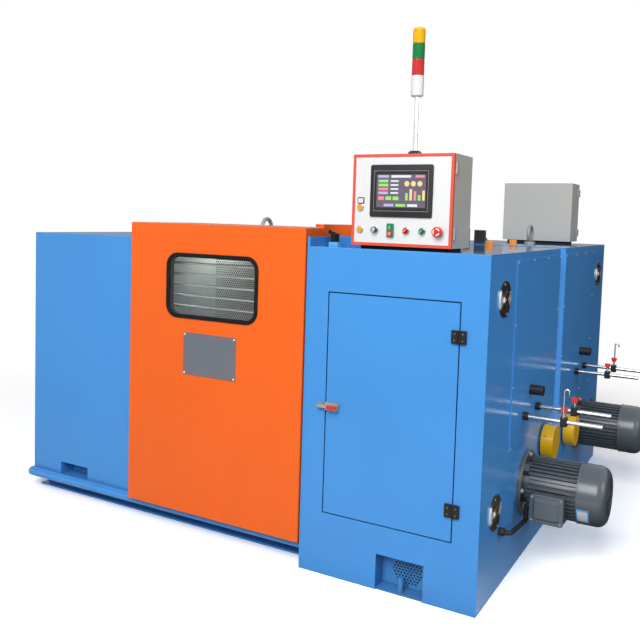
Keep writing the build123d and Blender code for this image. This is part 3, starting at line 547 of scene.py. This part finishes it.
def screw(radius, height):
    """Button head with a hexagon socket: a turned dome whose inner rings are hexagons."""
    socket = radius * 0.52
    profile = [(0, 0), (radius, 0), (radius, height * 0.45), (radius * 0.8, height * 0.85)]
    profile += [(radius * 0.62, height), (socket, height), (socket, height * 0.4), (0, height * 0.4)]
    return turned(profile, 12, hexagon=(5, 6))


def bolt(radius, height):
    """Hexagon head on a round washer."""
    washer = height * 0.22
    profile = [(0, 0), (radius * 1.35, 0), (radius * 1.35, washer), (radius * 1.1, washer)]
    profile += [(radius * 1.1, height * 0.9), (radius, height), (0, height)]
    return turned(profile, 24, hexagon=(3, 4))


def outline(width, height, radius, steps=6):
    """Rounded rectangle: each corner's centre plus a quarter turn of the corner radius."""
    turn = np.radians(np.arange(4)[:, None] * 90.0 + np.linspace(0.0, 90.0, steps))
    side = np.array([(1, 1), (-1, 1), (-1, -1), (1, -1)], float)
    centre = side * (width / 2 - radius, height / 2 - radius)
    return (centre[:, None] + radius * np.stack([np.cos(turn), np.sin(turn)], -1)).reshape(-1, 2)


def carried(width, height, radius, profile, steps=6):
    """Rounded rectangle carried along a profile of (inset, lift) steps, one ring to a step."""
    rings = []
    for inset, lift in profile:
        flat = outline(width - 2 * inset, height - 2 * inset, max(radius - inset, HAIR), steps)
        rings.append(np.column_stack([flat, np.full(len(flat), lift)]))
    return np.stack(rings)


def pad(width, height, radius, profile, steps=6):
    """A carried outline closed by a point in the middle at its foot and at its top."""
    rings = carried(width, height, radius, profile, steps)
    middle = np.array([0.0, 0.0, 1.0])
    return np.concatenate([rings[:1] * middle, rings, rings[-1:] * middle])


def plate(width, height, radius, thickness):
    """Thin plate with a small bevel round its face."""
    bevel = thickness * 0.4
    return pad(width, height, radius, [(0, 0), (0, thickness - bevel), (bevel, thickness)])


def perforated(width, height, pitch, hole, depth, patch):
    """Square cells in staggered rows: each runs from its edge in to a round hole and back by a depth.
    Cells whose centre lies outside the round patch have no hole."""
    rise = pitch * math.sqrt(3) / 2
    across, up = int(width / pitch), int(height / rise)
    row, column = np.meshgrid(np.arange(up), np.arange(across), indexing="ij")
    x = (column - (across - 1) / 2 + 0.5 * (row % 2) - 0.25) * pitch
    y = (row - (up - 1) / 2) * rise
    turn = np.arange(8) * np.pi / 4
    ring = np.stack([np.cos(turn), np.sin(turn)], -1)
    edge = np.sign(np.round(ring, 6)) * (pitch / 2, rise / 2)
    inside = np.hypot(x - patch[0], y - patch[1]) < patch[2]
    holes = (inside * hole).reshape(-1, 1, 1) * ring[None]
    centre = np.stack([x, y], -1).reshape(-1, 1, 2)
    flat = np.stack([centre + edge[None], centre + holes, centre + holes], axis=1)
    lift = np.array([0.0, 0.0, -depth]).reshape(1, 3, 1, 1)
    return np.concatenate([flat, np.broadcast_to(lift, flat.shape[:3] + (1,))], -1)


def around(centre, radius, count, start, facing_x):
    """Places evenly round a circle on a face of the drive end."""
    angle = np.radians(start) + np.arange(count) * 2 * np.pi / count
    flat = [np.full(count, facing_x), centre[0] + radius * np.cos(angle), centre[1] + radius * np.sin(angle)]
    return np.stack(flat, -1)


def corners(low, high, inset):
    """The four points in from the corners of a rectangle given as (across, up) pairs."""
    a = (low[0] + inset, high[0] - inset)
    b = (low[1] + inset, high[1] - inset)
    return [(a[i], b[j]) for i in range(2) for j in range(2)]


def on_front(pairs, y):
    """Points (x, y, z) on a face turned to the operator."""
    return [(x, y, z) for x, z in pairs]


def name_plate():
    """Bare plate on the sliding door with a printed line and four screws."""
    width, height, line = 0.298, 0.198, 0.010
    place = (END - 1.288, DOOR_FACE, 0.872)
    finish = Finish("name_plate")
    x, _, z = finish.axes()
    across = (x - place[0]).size() - (width / 2 - line)
    upright = (z - place[2]).size() - (height / 2 - line)
    border = 1.0 - across.either(upright).size().ease(0.0006, 0.0016)
    grain = finish.noise(700.0, 2.0, (0.03, 1.0, 1.0))
    tone = finish.mix(grain, (0.112, 0.135, 0.162), (0.160, 0.186, 0.216))
    tone = finish.mix(border * 0.75, tone, (0.55, 0.06, 0.05))
    normal = finish.bump(grain, 0.00002, 0.5)
    face = finish.paint(Base_Color=tone, Roughness=0.34 + grain * 0.1, Metallic=0.35, Normal=normal)
    thickness = 0.002
    grid = put(plate(width, height, 0.003, thickness), "operator", place)
    piece("name_plate", [grid], face, "chamber_door")
    low = (place[0] - width / 2, place[2] - height / 2)
    high = (place[0] + width / 2, place[2] + height / 2)
    heads = on_front(corners(low, high, 0.009), DOOR_FACE - thickness)
    piece("plate_screws", [put(screw(0.005, 0.0028), "operator", heads)], zinc, "chamber_door")


def hinge_screws():
    """Four screws on each square hinge, two to a leaf."""
    low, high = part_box("hinge_leaves")
    near, far = HINGE_HEIGHT * 0.24, HINGE_HEIGHT * 0.76
    heights = [low.z + near, low.z + far, high.z - far, high.z - near]
    head = screw(0.0034, 0.002)
    for name, body, shift, twin in (
        ("hinge_leaf_screws", "drive_cabinet_door", 0.0, None),
        ("hinge_plate_screws", "machine", HINGE_PITCH, 0.0),
    ):
        heads = [((low.x + high.x) / 2 + shift, low.y, z) for z in heights]
        piece(name, [put(head, "operator", heads)], brown, body, twin=twin)


def drive_end_screws():
    """Screws round the access panels, the hole covers and the terminal lids, bolts on the motor flanges."""
    inset, head = 0.011, screw(0.0055, 0.0035)
    low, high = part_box("access_panels")
    end_low, end_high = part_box("end_plates")
    unit_back = end_low.y + end_high.y - MIDDLE_GAP
    y_ends = (low.y + inset, unit_back - ACCESS_MARGIN - inset)
    z_ends = (low.z + inset, high.z - inset)
    y_steps, z_steps = np.linspace(*y_ends, 4), np.linspace(*z_ends, 4)
    rim = [(PANEL_FACE, y, z) for y in y_ends for z in z_steps]
    rim += [(PANEL_FACE, y, z) for y in y_steps[1:-1] for z in z_ends]
    piece("access_screws", [put(head, "end", rim)], dull, "machine", twin=0.0)
    low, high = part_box("hole_covers")
    heights = (low.z + COVER_RADIUS, high.z - COVER_RADIUS)
    middles = [(low.y + COVER_RADIUS, z) for z in heights]
    heads = [around(m, COVER_RADIUS - 0.009, 4, 20.0, END + COVER_THICKNESS) for m in middles]
    grid = put(screw(0.0045, 0.0028), "end", np.concatenate(heads))
    piece("cover_screws", [grid], dull, "machine", twin=0.0)
    low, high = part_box("terminal_boxes")
    heads = on_front(corners((low.x, low.z), (high.x, high.z - MOTOR_RISE), 0.012), low.y + LID_RISE)
    grid = put(screw(0.0048, 0.003), "operator", heads)
    piece("lid_screws", [grid], dull, "machine", twin=MOTOR_RISE)
    low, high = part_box("motor_flanges")
    middle = (low.y + FLANGE_RADIUS, low.z + FLANGE_RADIUS)
    heads = around(middle, FLANGE_RADIUS - 0.0175, 4, 0.0, END + FLANGE_THICKNESS)
    piece("flange_bolts", [put(bolt(0.0085, 0.010), "end", heads)], dull, "machine", twin=MOTOR_RISE)


def fan_cover():
    """Turned fan cover: a straight skirt, a round shoulder and an end grille of concentric slots."""
    low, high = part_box("fan_covers")
    radius, length = FAN_RADIUS, high.x - low.x
    skirt = radius - FAN_LIP
    turn = np.linspace(0.0, np.pi / 2, 9)
    across = skirt - FAN_SHOULDER + FAN_SHOULDER * np.cos(turn)
    along = length - FAN_SHOULDER + FAN_SHOULDER * np.sin(turn)
    profile = [(0, 0), (radius, 0), (radius, 0.004), (skirt, 0.006)]
    profile += list(zip(across, along))
    floor, slot = length - 0.006, 0.007
    for outer in np.linspace(0.084, 0.032, 5):
        profile += [(outer, length), (outer, floor), (outer - slot, floor), (outer - slot, length)]
    profile.append((0, length))
    place = (low.x, low.y + radius, low.z + radius)
    grid = put(turned(profile, 64), "end", place)
    made = piece("fan_covers_grilled", [grid], motor_grey, "machine", twin=MOTOR_RISE)
    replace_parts(made, "fan_covers")
    spoke = [(0, -0.006), (0, -0.0006), (0.0006, 0)]
    middle = (high.x, place[1], place[2])
    spokes = [put(pad(*size, 0.002, spoke), "end", middle) for size in ((0.160, 0.009), (0.009, 0.160))]
    piece("fan_spokes", spokes, motor_grey, "machine", twin=MOTOR_RISE)
    return place


def blank_sticker(place):
    """Plain sticker bent round the fan cover: a white field inside a pale blue border."""
    steps = 12
    angle = np.radians(np.linspace(194.0, 228.0, steps))
    along = np.array([0.056, 0.005])
    bend = FAN_RADIUS - FAN_LIP + HAIR
    x = np.broadcast_to(place[0] + along[:, None], (2, steps))
    y = np.broadcast_to(place[1] + bend * np.cos(angle), (2, steps))
    z = np.broadcast_to(place[2] + bend * np.sin(angle), (2, steps))
    finish = Finish("blank_sticker")
    side, _, height = finish.axes()
    foot, top, edge = 0.008, 0.010, 0.005
    field = height.over(z.min() + foot) * height.under(z.max() - top)
    field = field * side.over(x.min() + edge) * side.under(x.max() - edge)
    tone = finish.mix(field, (0.10, 0.42, 0.80), (0.78, 0.78, 0.76))
    tone = finish.mix(finish.noise(300.0) * 0.15, tone, (0.4, 0.4, 0.4))
    face = finish.paint(Base_Color=tone, Roughness=0.35)
    grid = np.stack([x, y, z], -1)[None]
    piece("blank_sticker", [grid], face, "machine", closed=False, shell=False)


def set_screws():
    """Set-screw holes in the drums' rims and the sockets' sides, filled near-black as painted shade in the
    holes.
    """
    # painted shade: a shallow near-black dish stands for the depth of each hole
    dark = moulded("set_screw_hole_shade", (0.006, 0.006, 0.006), 0.6)
    radius, sunk = 0.0055, -0.002
    profile = [(0, sunk), (radius, sunk), (radius, HAIR), (0.004, HAIR), (0.0035, sunk / 2), (0, sunk / 2)]
    head = turned(profile, 12)
    low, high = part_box("brake_drums")
    turn = math.radians(30.0)
    out, up = math.cos(turn), math.sin(turn)
    tilted = head @ np.array([(1, 0, 0), (0, out, -up), (0, up, out)])
    y = low.y + DRUM_RADIUS - DRUM_RADIUS * out
    z = high.z - DRUM_RADIUS + DRUM_RADIUS * up
    place = ((low.x + high.x) / 2 - 0.006, y, z)
    piece("drum_set_screws", [put(tilted, "operator", place)], dark, "machine", twin=-DRUM_DROP)
    place = (PANEL_FACE + 0.030, SOCKET_MIDDLE[0] - SOCKET_RADIUS, SOCKET_MIDDLE[1])
    grid = put(head, "operator", place)
    piece("socket_set_screws", [grid], dark, "machine", twin=SOCKET_RISE)


def vent_sheets():
    """Round patches of punched holes in the back of the foot recess and of the vent notch, with a near-black
    plate behind each patch as painted shade seen through the holes.
    """
    # painted shade: near-black plates seen through the punched holes
    hole_shade = moulded("vent_hole_shade", (0.003, 0.004, 0.008), 0.8)
    depth, pitch, hole = 0.0015, 0.0145, 0.0050
    stand_off, back_off = 0.004, 0.0038
    rail_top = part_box("door_rails")[1].z - RIDGE_HEIGHT
    foot = (BULKHEAD + FOOT_LEFT + FOOT_WIDTH / 2, FRONT + SHEET + FOOT_DEPTH - stand_off, FOOT_MIDDLE)
    notch_back = FRONT + PANEL_BACK + NOTCH_DEPTH - stand_off
    notch = (LEFT + NOTCH_LEFT + NOTCH_WIDTH / 2, notch_back, rail_top + NOTCH_HEIGHT / 2)
    grids, backs = [], []
    for place, size, patch in (
        (foot, (0.2, 0.145), (0.010, 0.002, 0.066)),
        (notch, (0.19, 0.070), (0.055, 0.004, 0.046)),
    ):
        grid = perforated(*size, pitch, hole, depth, patch)
        grids.append(grid @ FACING["operator"] + np.array(place))
        tall = min(size[1], 2 * patch[2])
        back = plate(2 * patch[2], tall, tall * 0.4, 0.0008)
        backs.append(put(back, "operator", (place[0] + patch[0], place[1] + back_off, place[2])))
    piece("vent_sheets", grids, shaded_blue, "machine", twin=0.0, shell=False)
    piece("vent_backs", backs, hole_shade, "machine", twin=0.0)


def window_seals():
    """Rubber seal carried round the window: two beads, a groove between them and a sleeve into the door."""
    for name, node, body, far in (
        ("window_seal", "window_gasket", "chamber_door", False),
        ("far_window_seal", "far_window_gasket", "machine", True),
    ):
        low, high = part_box(node)
        width, height = high.x - low.x, high.z - low.z
        bead = [(0.0, 0.0), (0.0, 0.004), (0.0015, 0.0062), (0.005, 0.007), (0.0082, 0.006)]
        bead += [(0.0095, 0.0040), (0.0108, 0.0055), (0.0140, 0.0064), (0.0175, 0.0052), (0.0195, 0.002)]
        bead += [(0.020, -0.001), (0.0125, -0.001), (0.0125, -0.036), (0.0107, -0.036)]
        bead += [(0.0107, 0.0), (0.0, 0.0)]
        base = (low.x + width / 2, high.y, low.z + height / 2)
        ring = carried(width, height, WINDOW_RADIUS, bead, 12)
        if far:
            base = (base[0], -low.y, base[2])
        grid = put(ring, "operator", base)
        grid = (grid * MIRROR)[:, :, ::-1] if far else grid
        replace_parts(piece(name, [grid], rubber, body), node)


def screen_shapes():
    """Field, rows, buttons, bars and dots on the screen, as shares of the glass: the middle across and up,
    the width, the height (none for a dot) and the tint."""
    lavender, cream, lime, rose, pale, slate = SCREEN_TINTS
    rows = (0.30, 0.18, 0.06, -0.06)
    shapes = [(0.0, 0.0, 1.0, 1.0, slate)]
    titles = ((-0.36, 0.22, lavender), (0.0, 0.40, pale), (0.38, 0.18, rose))
    shapes += [(x, 0.44, wide, 0.075, tint) for x, wide, tint in titles]
    shapes += [(-0.36, z, 0.20, 0.08, tint) for z, tint in zip(rows, (lime, lime, rose, lavender))]
    shapes += [(-0.13, z, 0.16, 0.05, pale) for z in rows]
    shapes += [(x, -0.22, 0.12, 0.11, tint) for x, tint in ((-0.40, rose), (-0.25, lime), (-0.10, lime))]
    for index, tall in enumerate((0.22, 0.34, 0.28, 0.16, 0.30)):
        tint = (lime, cream, rose)[index % 3]
        shapes.append((0.12 + 0.085 * index, -0.28 + tall / 2, 0.05, tall, tint))
    for index, tint in enumerate((lavender, lime, pale)):
        shapes.append((-0.24 + 0.24 * index, -0.43, 0.20, 0.08, tint))
    return shapes + [(x, 0.22, 0.105, None, cream) for x in (0.12, 0.25, 0.38)]


def screen():
    """Touch screen: a stepped bezel with a raised line, a dark glass and plain shapes on it."""
    low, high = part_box("touch_screen")
    width, height = high.x - low.x, high.z - low.z
    deep = high.y - low.y
    sunk = deep * 0.66
    middle = (low.x + width / 2, high.y, low.z + height / 2)
    glass_width, glass_height = width - 0.056, height - 0.078
    steps = [(0, 0), (0, deep * 0.72), (0.0012, deep * 0.86), (0.004, deep * 0.97)]
    outer = carried(width, height, 0.008, steps)
    slope = 0.002
    steps = [(0, deep * 0.95), (slope, sunk)]
    inner = carried(glass_width + 2 * slope, glass_height + 2 * slope, 0.003, steps)
    ends = np.array([0.0, 0.0, 1.0])
    bezel = np.concatenate([outer[:1] * ends, outer, inner, inner[-1:] * ends])
    bezel = put(bezel, "operator", middle)
    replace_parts(piece("screen_bezel", [bezel], black, "operator_panel"), "touch_screen")
    trim = carried(width - 0.034, height - 0.048, 0.003, [(0, 0), (0.0013, 0)])
    trim = put(trim, "operator", (middle[0], low.y + deep * 0.03 - HAIR / 2, middle[2]))
    piece("screen_trim", [trim], dull, "operator_panel", shell=False)
    shapes = screen_shapes()
    grids = []
    for index, (x, z, w, h, tint) in enumerate(shapes):
        size = w * glass_width
        wide, tall, corner = (size, size, size / 2) if h is None else (size, h * glass_height, 0.0008)
        flat = carried(wide, tall, corner, [(0, 0)], 3)
        place = (x * glass_width, z * glass_height, min(index, 1) * HAIR)
        grids.append(np.concatenate([flat, flat * ends]) + place)
    tints = [shape[-1] for shape in shapes]
    grid = np.stack(grids) @ FACING["operator"] + (middle[0], high.y - sunk - HAIR, middle[2])
    colours = np.column_stack([tints, np.ones(len(tints))])
    colours = np.repeat(colours, grid.shape[1] * grid.shape[2], axis=0)
    finish = Finish("screen_picture")
    tint = finish.node("ShaderNodeVertexColor", {"layer_name": "tint"})
    lines = finish.axes()[2] * (2 * math.pi / 0.0011)
    shade = finish.mix(lines.wave().ease(-1.0, 1.0) * 0.12, tint, (0.0, 0.0, 0.0))
    tone = finish.mix(0.5, shade, (0.02, 0.02, 0.02))
    face = finish.paint(Base_Color=tone, Roughness=0.12, Emission_Color=shade, Emission_Strength=0.55)
    piece("screen_picture", [grid], face, "operator_panel", shell=False, tints=colours)


def bar_mark(width, height):
    """Flat bar: a rounded outline drawn in to its middle."""
    edge = carried(width, height, 0.0006, [(0, 0)])
    return np.concatenate([edge, edge * 0.0])


def middle_of(node):
    """Middle of a node's box across and up, on its face turned to the operator."""
    low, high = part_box(node)
    return (low.x + high.x) / 2, low.y, (low.z + high.z) / 2


def label():
    """Framed blank card over the orange buttons."""
    x, high = middle_of("orange_buttons")[0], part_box("orange_buttons")[1].z
    y, z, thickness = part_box("button_bezels")[1].y, high + 0.017, 0.003
    grid = put(plate(0.030, 0.026, 0.002, thickness), "operator", (x, y, z))
    piece("label_frame", [grid], black, "operator_panel")
    card = put(plate(0.023, 0.019, 0.001, 0.0012), "operator", (x, y - thickness, z))
    piece("label_card", [card], white, "operator_panel")


def start_stop():
    """Dished start and stop caps with a bar and a ring on them."""
    x, y, z = middle_of("start_stop_block")
    dish, offset = 0.0026, 0.0125
    cap = pad(0.022, 0.0225, 0.003, [(0, 0), (0, 0.0025), (0.001, 0.0035), (0.004, dish)])
    start, stop = put(cap, "operator", (x, y, z + offset)), put(cap, "operator", (x, y, z - offset))
    piece("start_cap", [start], green, "operator_panel")
    piece("stop_cap", [stop], red, "operator_panel")
    mark_y = y - dish - HAIR
    bar = put(bar_mark(0.0026, 0.011), "operator", (x, mark_y, z + offset))
    size = 0.0115
    ring = put(carried(size, size, size / 2, [(0, 0), (0.0017, 0)]), "operator", (x, mark_y, z - offset))
    piece("start_stop_marks", [bar, ring], white, "operator_panel", shell=False)


def stop_and_selectors():
    """Three arcs on the stop button, a slanting line on each selector and a bright face on the knob."""
    body = "operator_panel"
    low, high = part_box("red_controls")
    z = (low.z + high.z) / 2
    stop_x = high.x - STOP_RADIUS
    angle = np.radians(np.array([[20.0], [140.0], [260.0]]) + np.linspace(0, 80, 14))
    reach = np.array([0.0150, 0.0098])
    flat = np.stack([np.cos(angle), np.sin(angle), 0 * angle], -1)
    arcs = reach[None, :, None, None] * flat[:, None]
    grid = arcs @ FACING["operator"] + (stop_x, low.y - HAIR, z)
    piece("stop_arrows", [grid], white, body, closed=False, shell=False)
    side = math.sqrt(0.5)
    line = bar_mark(0.016, 0.0018) @ np.array([(side, side, 0), (-side, side, 0), (0, 0, 1)])
    green_x, face, green_z = middle_of("green_selector")
    places = [(green_x, face - HAIR, green_z), (stop_x - 2 * CONTROL_PITCH, face - HAIR, z)]
    piece("selector_lines", [put(line, "operator", places)], white, body, shell=False)
    dial = turned([(0, 0), (0.0085, 0), (0.0085, 0.0008), (0.0078, 0.0012), (0, 0.0012)], 24)
    grid = put(dial, "operator", middle_of("speed_knob"))
    piece("knob_face", [grid], bright, body)


def lens(name, colour):
    """Smooth coloured plastic with a faint clouding."""
    finish = Finish(name + "_plastic")
    cloud = finish.noise(40.0, 3.0)
    tone = finish.mix(cloud * 0.4, colour, tuple(min(1.0, c * 1.25 + 0.01) for c in colour))
    return finish.paint(Base_Color=tone, Roughness=0.16 + cloud * 0.08, Specular_IOR_Level=0.25)


def tower_lenses():
    """Lenses with fine stacked ribs: the radius waves along the height, above a narrow neck."""
    for name, colour in LENS_TINTS.items():
        low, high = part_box(name)
        radius, tall = (high.x - low.x) / 2, high.z - low.z
        neck, rib, pitch, dome = radius * 0.86, 0.0007, 0.0045, 0.009
        height = np.linspace(0.004, tall - 0.002, 97)
        ribs = radius - rib + rib * np.cos(2 * np.pi * height / pitch)
        profile = [(0, 0), (neck, 0), (neck, 0.003), (radius - 0.001, 0.003)]
        if name == "amber_lens":
            turn = np.linspace(0, np.pi / 2, 9)
            keep = height < tall - 0.010
            profile += list(zip(ribs[keep], height[keep]))
            profile += list(zip(radius - dome + 0.0085 * np.cos(turn), tall - dome + dome * np.sin(turn)))
        else:
            profile += list(zip(ribs, height)) + [(radius - 0.001, tall)]
        profile.append((0, profile[-1][1]))
        grid = put(turned(profile, 48), "up", ((low.x + high.x) / 2, (low.y + high.y) / 2, low.z))
        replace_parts(piece("ribbed_" + name, [grid], lens(name, colour), "machine"), name)


def lining_mesh():
    """Punched steel sheet on the chamber lining, a near-black plate behind its holes as painted shade, and a
    plain sheet on its left.
    """
    low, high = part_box("chamber_linings")
    wide, tall, everywhere = 0.36, 1.20, (0, 0, 9.0)
    pitch, hole, depth = 0.0125, 0.0042, 0.002
    place = (high.x - 0.667, low.y - 2 * depth, (low.z + high.z) / 2)
    grid = perforated(wide, tall, pitch, hole, depth, everywhere) @ FACING["operator"] + np.array(place)
    piece("punched_lining", [grid], lining, "machine", twin=0.0, shell=False)
    # painted shade: a near-black plate seen through the punched holes
    dark = moulded("lining_hole_shade", (0.012, 0.013, 0.014), 0.7)
    back = put(plate(wide - 0.01, tall - 0.01, 0.003, 0.001), "operator", (place[0], low.y, place[2]))
    piece("punched_lining_back", [back], dark, "machine", twin=0.0)
    run, thickness = low.x - LEFT - 0.032, 0.002
    sheet = plate(run, high.z - low.z, 0.001, thickness)
    sheet = put(sheet, "operator", (low.x - run / 2, low.y + thickness, place[2]))
    piece("lining_sheet", [sheet], lining, "machine", twin=0.0)


name_plate()
hinge_screws()
drive_end_screws()
blank_sticker(fan_cover())
set_screws()
vent_sheets()
window_seals()
screen()
label()
start_stop()
stop_and_selectors()
tower_lenses()
lining_mesh()


def make_camera():
    """Camera at the fitted place: the three axes come from yaw, pitch and roll."""
    yaw, pitch, roll = (math.radians(a) for a in (CAMERA_YAW, CAMERA_PITCH, CAMERA_ROLL))
    ahead = np.array([-math.sin(yaw) * math.cos(pitch), math.cos(yaw) * math.cos(pitch), -math.sin(pitch)])
    level = np.array([math.cos(yaw), math.sin(yaw), 0.0])
    upright = np.cross(level, ahead)
    right = math.cos(roll) * level + math.sin(roll) * upright
    up = math.cos(roll) * upright - math.sin(roll) * level
    camera = bpy.data.objects.new("camera", bpy.data.cameras.new("camera"))
    pose = np.eye(4)
    pose[:3, :3] = np.stack([right, up, -ahead], axis=1)
    pose[:3, 3] = CAMERA_PLACE
    camera.matrix_world = Matrix(pose.tolist())
    camera.data.sensor_width = SENSOR
    camera.data.lens = CAMERA_LENS
    camera.data.shift_x, camera.data.shift_y = CAMERA_SHIFT
    camera.data.clip_end = 200.0
    bpy.context.collection.objects.link(camera)
    bpy.context.scene.camera = camera


def make_world():
    """Sky: white where it is looked at or mirrored but for a dim side, a plain level where it lights."""
    world = bpy.data.worlds.new("studio")
    bpy.context.scene.world = world
    world.use_nodes = True
    sky = Finish.of_tree(world.node_tree)
    way = sky.node("ShaderNodeTexCoord", output="Generated")
    split = sky.node("ShaderNodeSeparateXYZ", {}, {0: way})
    east, north, high = split, split.output("Y"), split.output("Z")
    side = east.ease(0.0, 0.2) * north.ease(0.3, 0.6) * (1.0 - high.ease(0.15, 0.45)) * DIM_SIDE
    dim = side.either(north.ease(0.3, 0.6) * (1.0 - high.ease(0.1, 0.3)) * DIM_HORIZON)
    path = sky.node("ShaderNodeLightPath", output="Is Camera Ray")
    mirrored = path.output("Is Glossy Ray").either(path.output("Is Transmission Ray"))
    level = AMBIENT + (path + mirrored * (1.0 - dim)) * (1.0 - AMBIENT)
    level = level - mirrored * dim * AMBIENT
    sockets = {"Color": (1.0, 1.0, 1.0, 1.0), "Strength": level}
    sky.end(sky.node("ShaderNodeBackground", {}, sockets), "ShaderNodeOutputWorld")


def make_lamp(name, place, target, size, power, tall=None):
    """Soft lamp at a place, turned to a target, as tall as it is wide unless told."""
    lamp = bpy.data.objects.new(name, bpy.data.lights.new(name, "AREA"))
    lamp.data.shape = "RECTANGLE"
    lamp.data.size, lamp.data.size_y = size, tall or size
    lamp.data.energy = power
    ahead = np.subtract(target, place)
    side = np.cross(ahead, (0.0, 0.0, 1.0))
    side /= np.linalg.norm(side)
    back = -ahead / np.linalg.norm(ahead)
    pose = np.eye(4)
    pose[:3, :3] = np.stack([side, np.cross(back, side), back], axis=1)
    pose[:3, 3] = place
    lamp.matrix_world = Matrix(pose.tolist())
    bpy.context.collection.objects.link(lamp)


def make_floor():
    """Pale floor, white to the camera where nothing shades it, fading into the white sky far away."""
    reach = 60.0
    mesh = bpy.data.meshes.new("floor")
    square = [(-reach, -reach, 0), (reach, -reach, 0), (reach, reach, 0), (-reach, reach, 0)]
    mesh.from_pydata(square, [], [(0, 1, 2, 3)])
    floor = bpy.data.objects.new("floor", mesh)
    bpy.context.collection.objects.link(floor)
    finish = Finish("pale_floor")
    x, y = finish.axes()[:2]
    path = finish.node("ShaderNodeLightPath", output="Is Camera Ray")
    mirrored = path.output("Is Glossy Ray")
    dim = x.ease(0.6, 1.4) * y.ease(-1.6, -0.6) * mirrored * DIM_SIDE
    seen = path.either(mirrored)
    far = (x * x + y * y).root().ease(2.2, 4.5) * seen
    plain, lit, dark = (
        finish.node("ShaderNodeBsdfDiffuse", {}, {"Color": (tone, tone, tone, 1.0)})
        for tone in (FLOOR_PLAIN, FLOOR_SEEN, 0.0)
    )
    glow = finish.node("ShaderNodeEmission", {}, {"Color": (1, 1, 1, 1), "Strength": 1.0})
    shader = plain
    for share, other in ((seen, lit), (far, glow), (dim, dark)):
        shader = finish.node("ShaderNodeMixShader", {}, {0: share, 1: shader, 2: other})
    mesh.materials.append(finish.end(shader))


make_camera()
make_world()
make_lamp("key", (1.3, -7.0, 5.0), (0.0, -1.2, 0.9), 4.0, 490.0)
make_lamp("fill", (END + 4.0, FRONT + 0.25, 2.3), (END, -0.5, 0.8), 1.6, 38.0)
place, target = (BULKHEAD - 0.92, FRONT + 0.28, 1.335), (BULKHEAD - 0.92, FRONT + 0.44, 1.0)
make_lamp("chamber", place, target, 0.18, 1.5)
make_lamp("gap", (END - 0.03, -0.058, 0.85), (END - 0.03, 0.06, 0.85), 0.05, 0.26, 1.0)
place, target = (BOX_LEFT - 0.02, FRONT + 0.36, ROOF + 0.20), (BULKHEAD, FRONT + 0.34, ROOF + 0.12)
make_lamp("hood", place, target, 0.16, 0.2)
make_floor()

scene = bpy.context.scene
scene.view_settings.view_transform = "Standard"
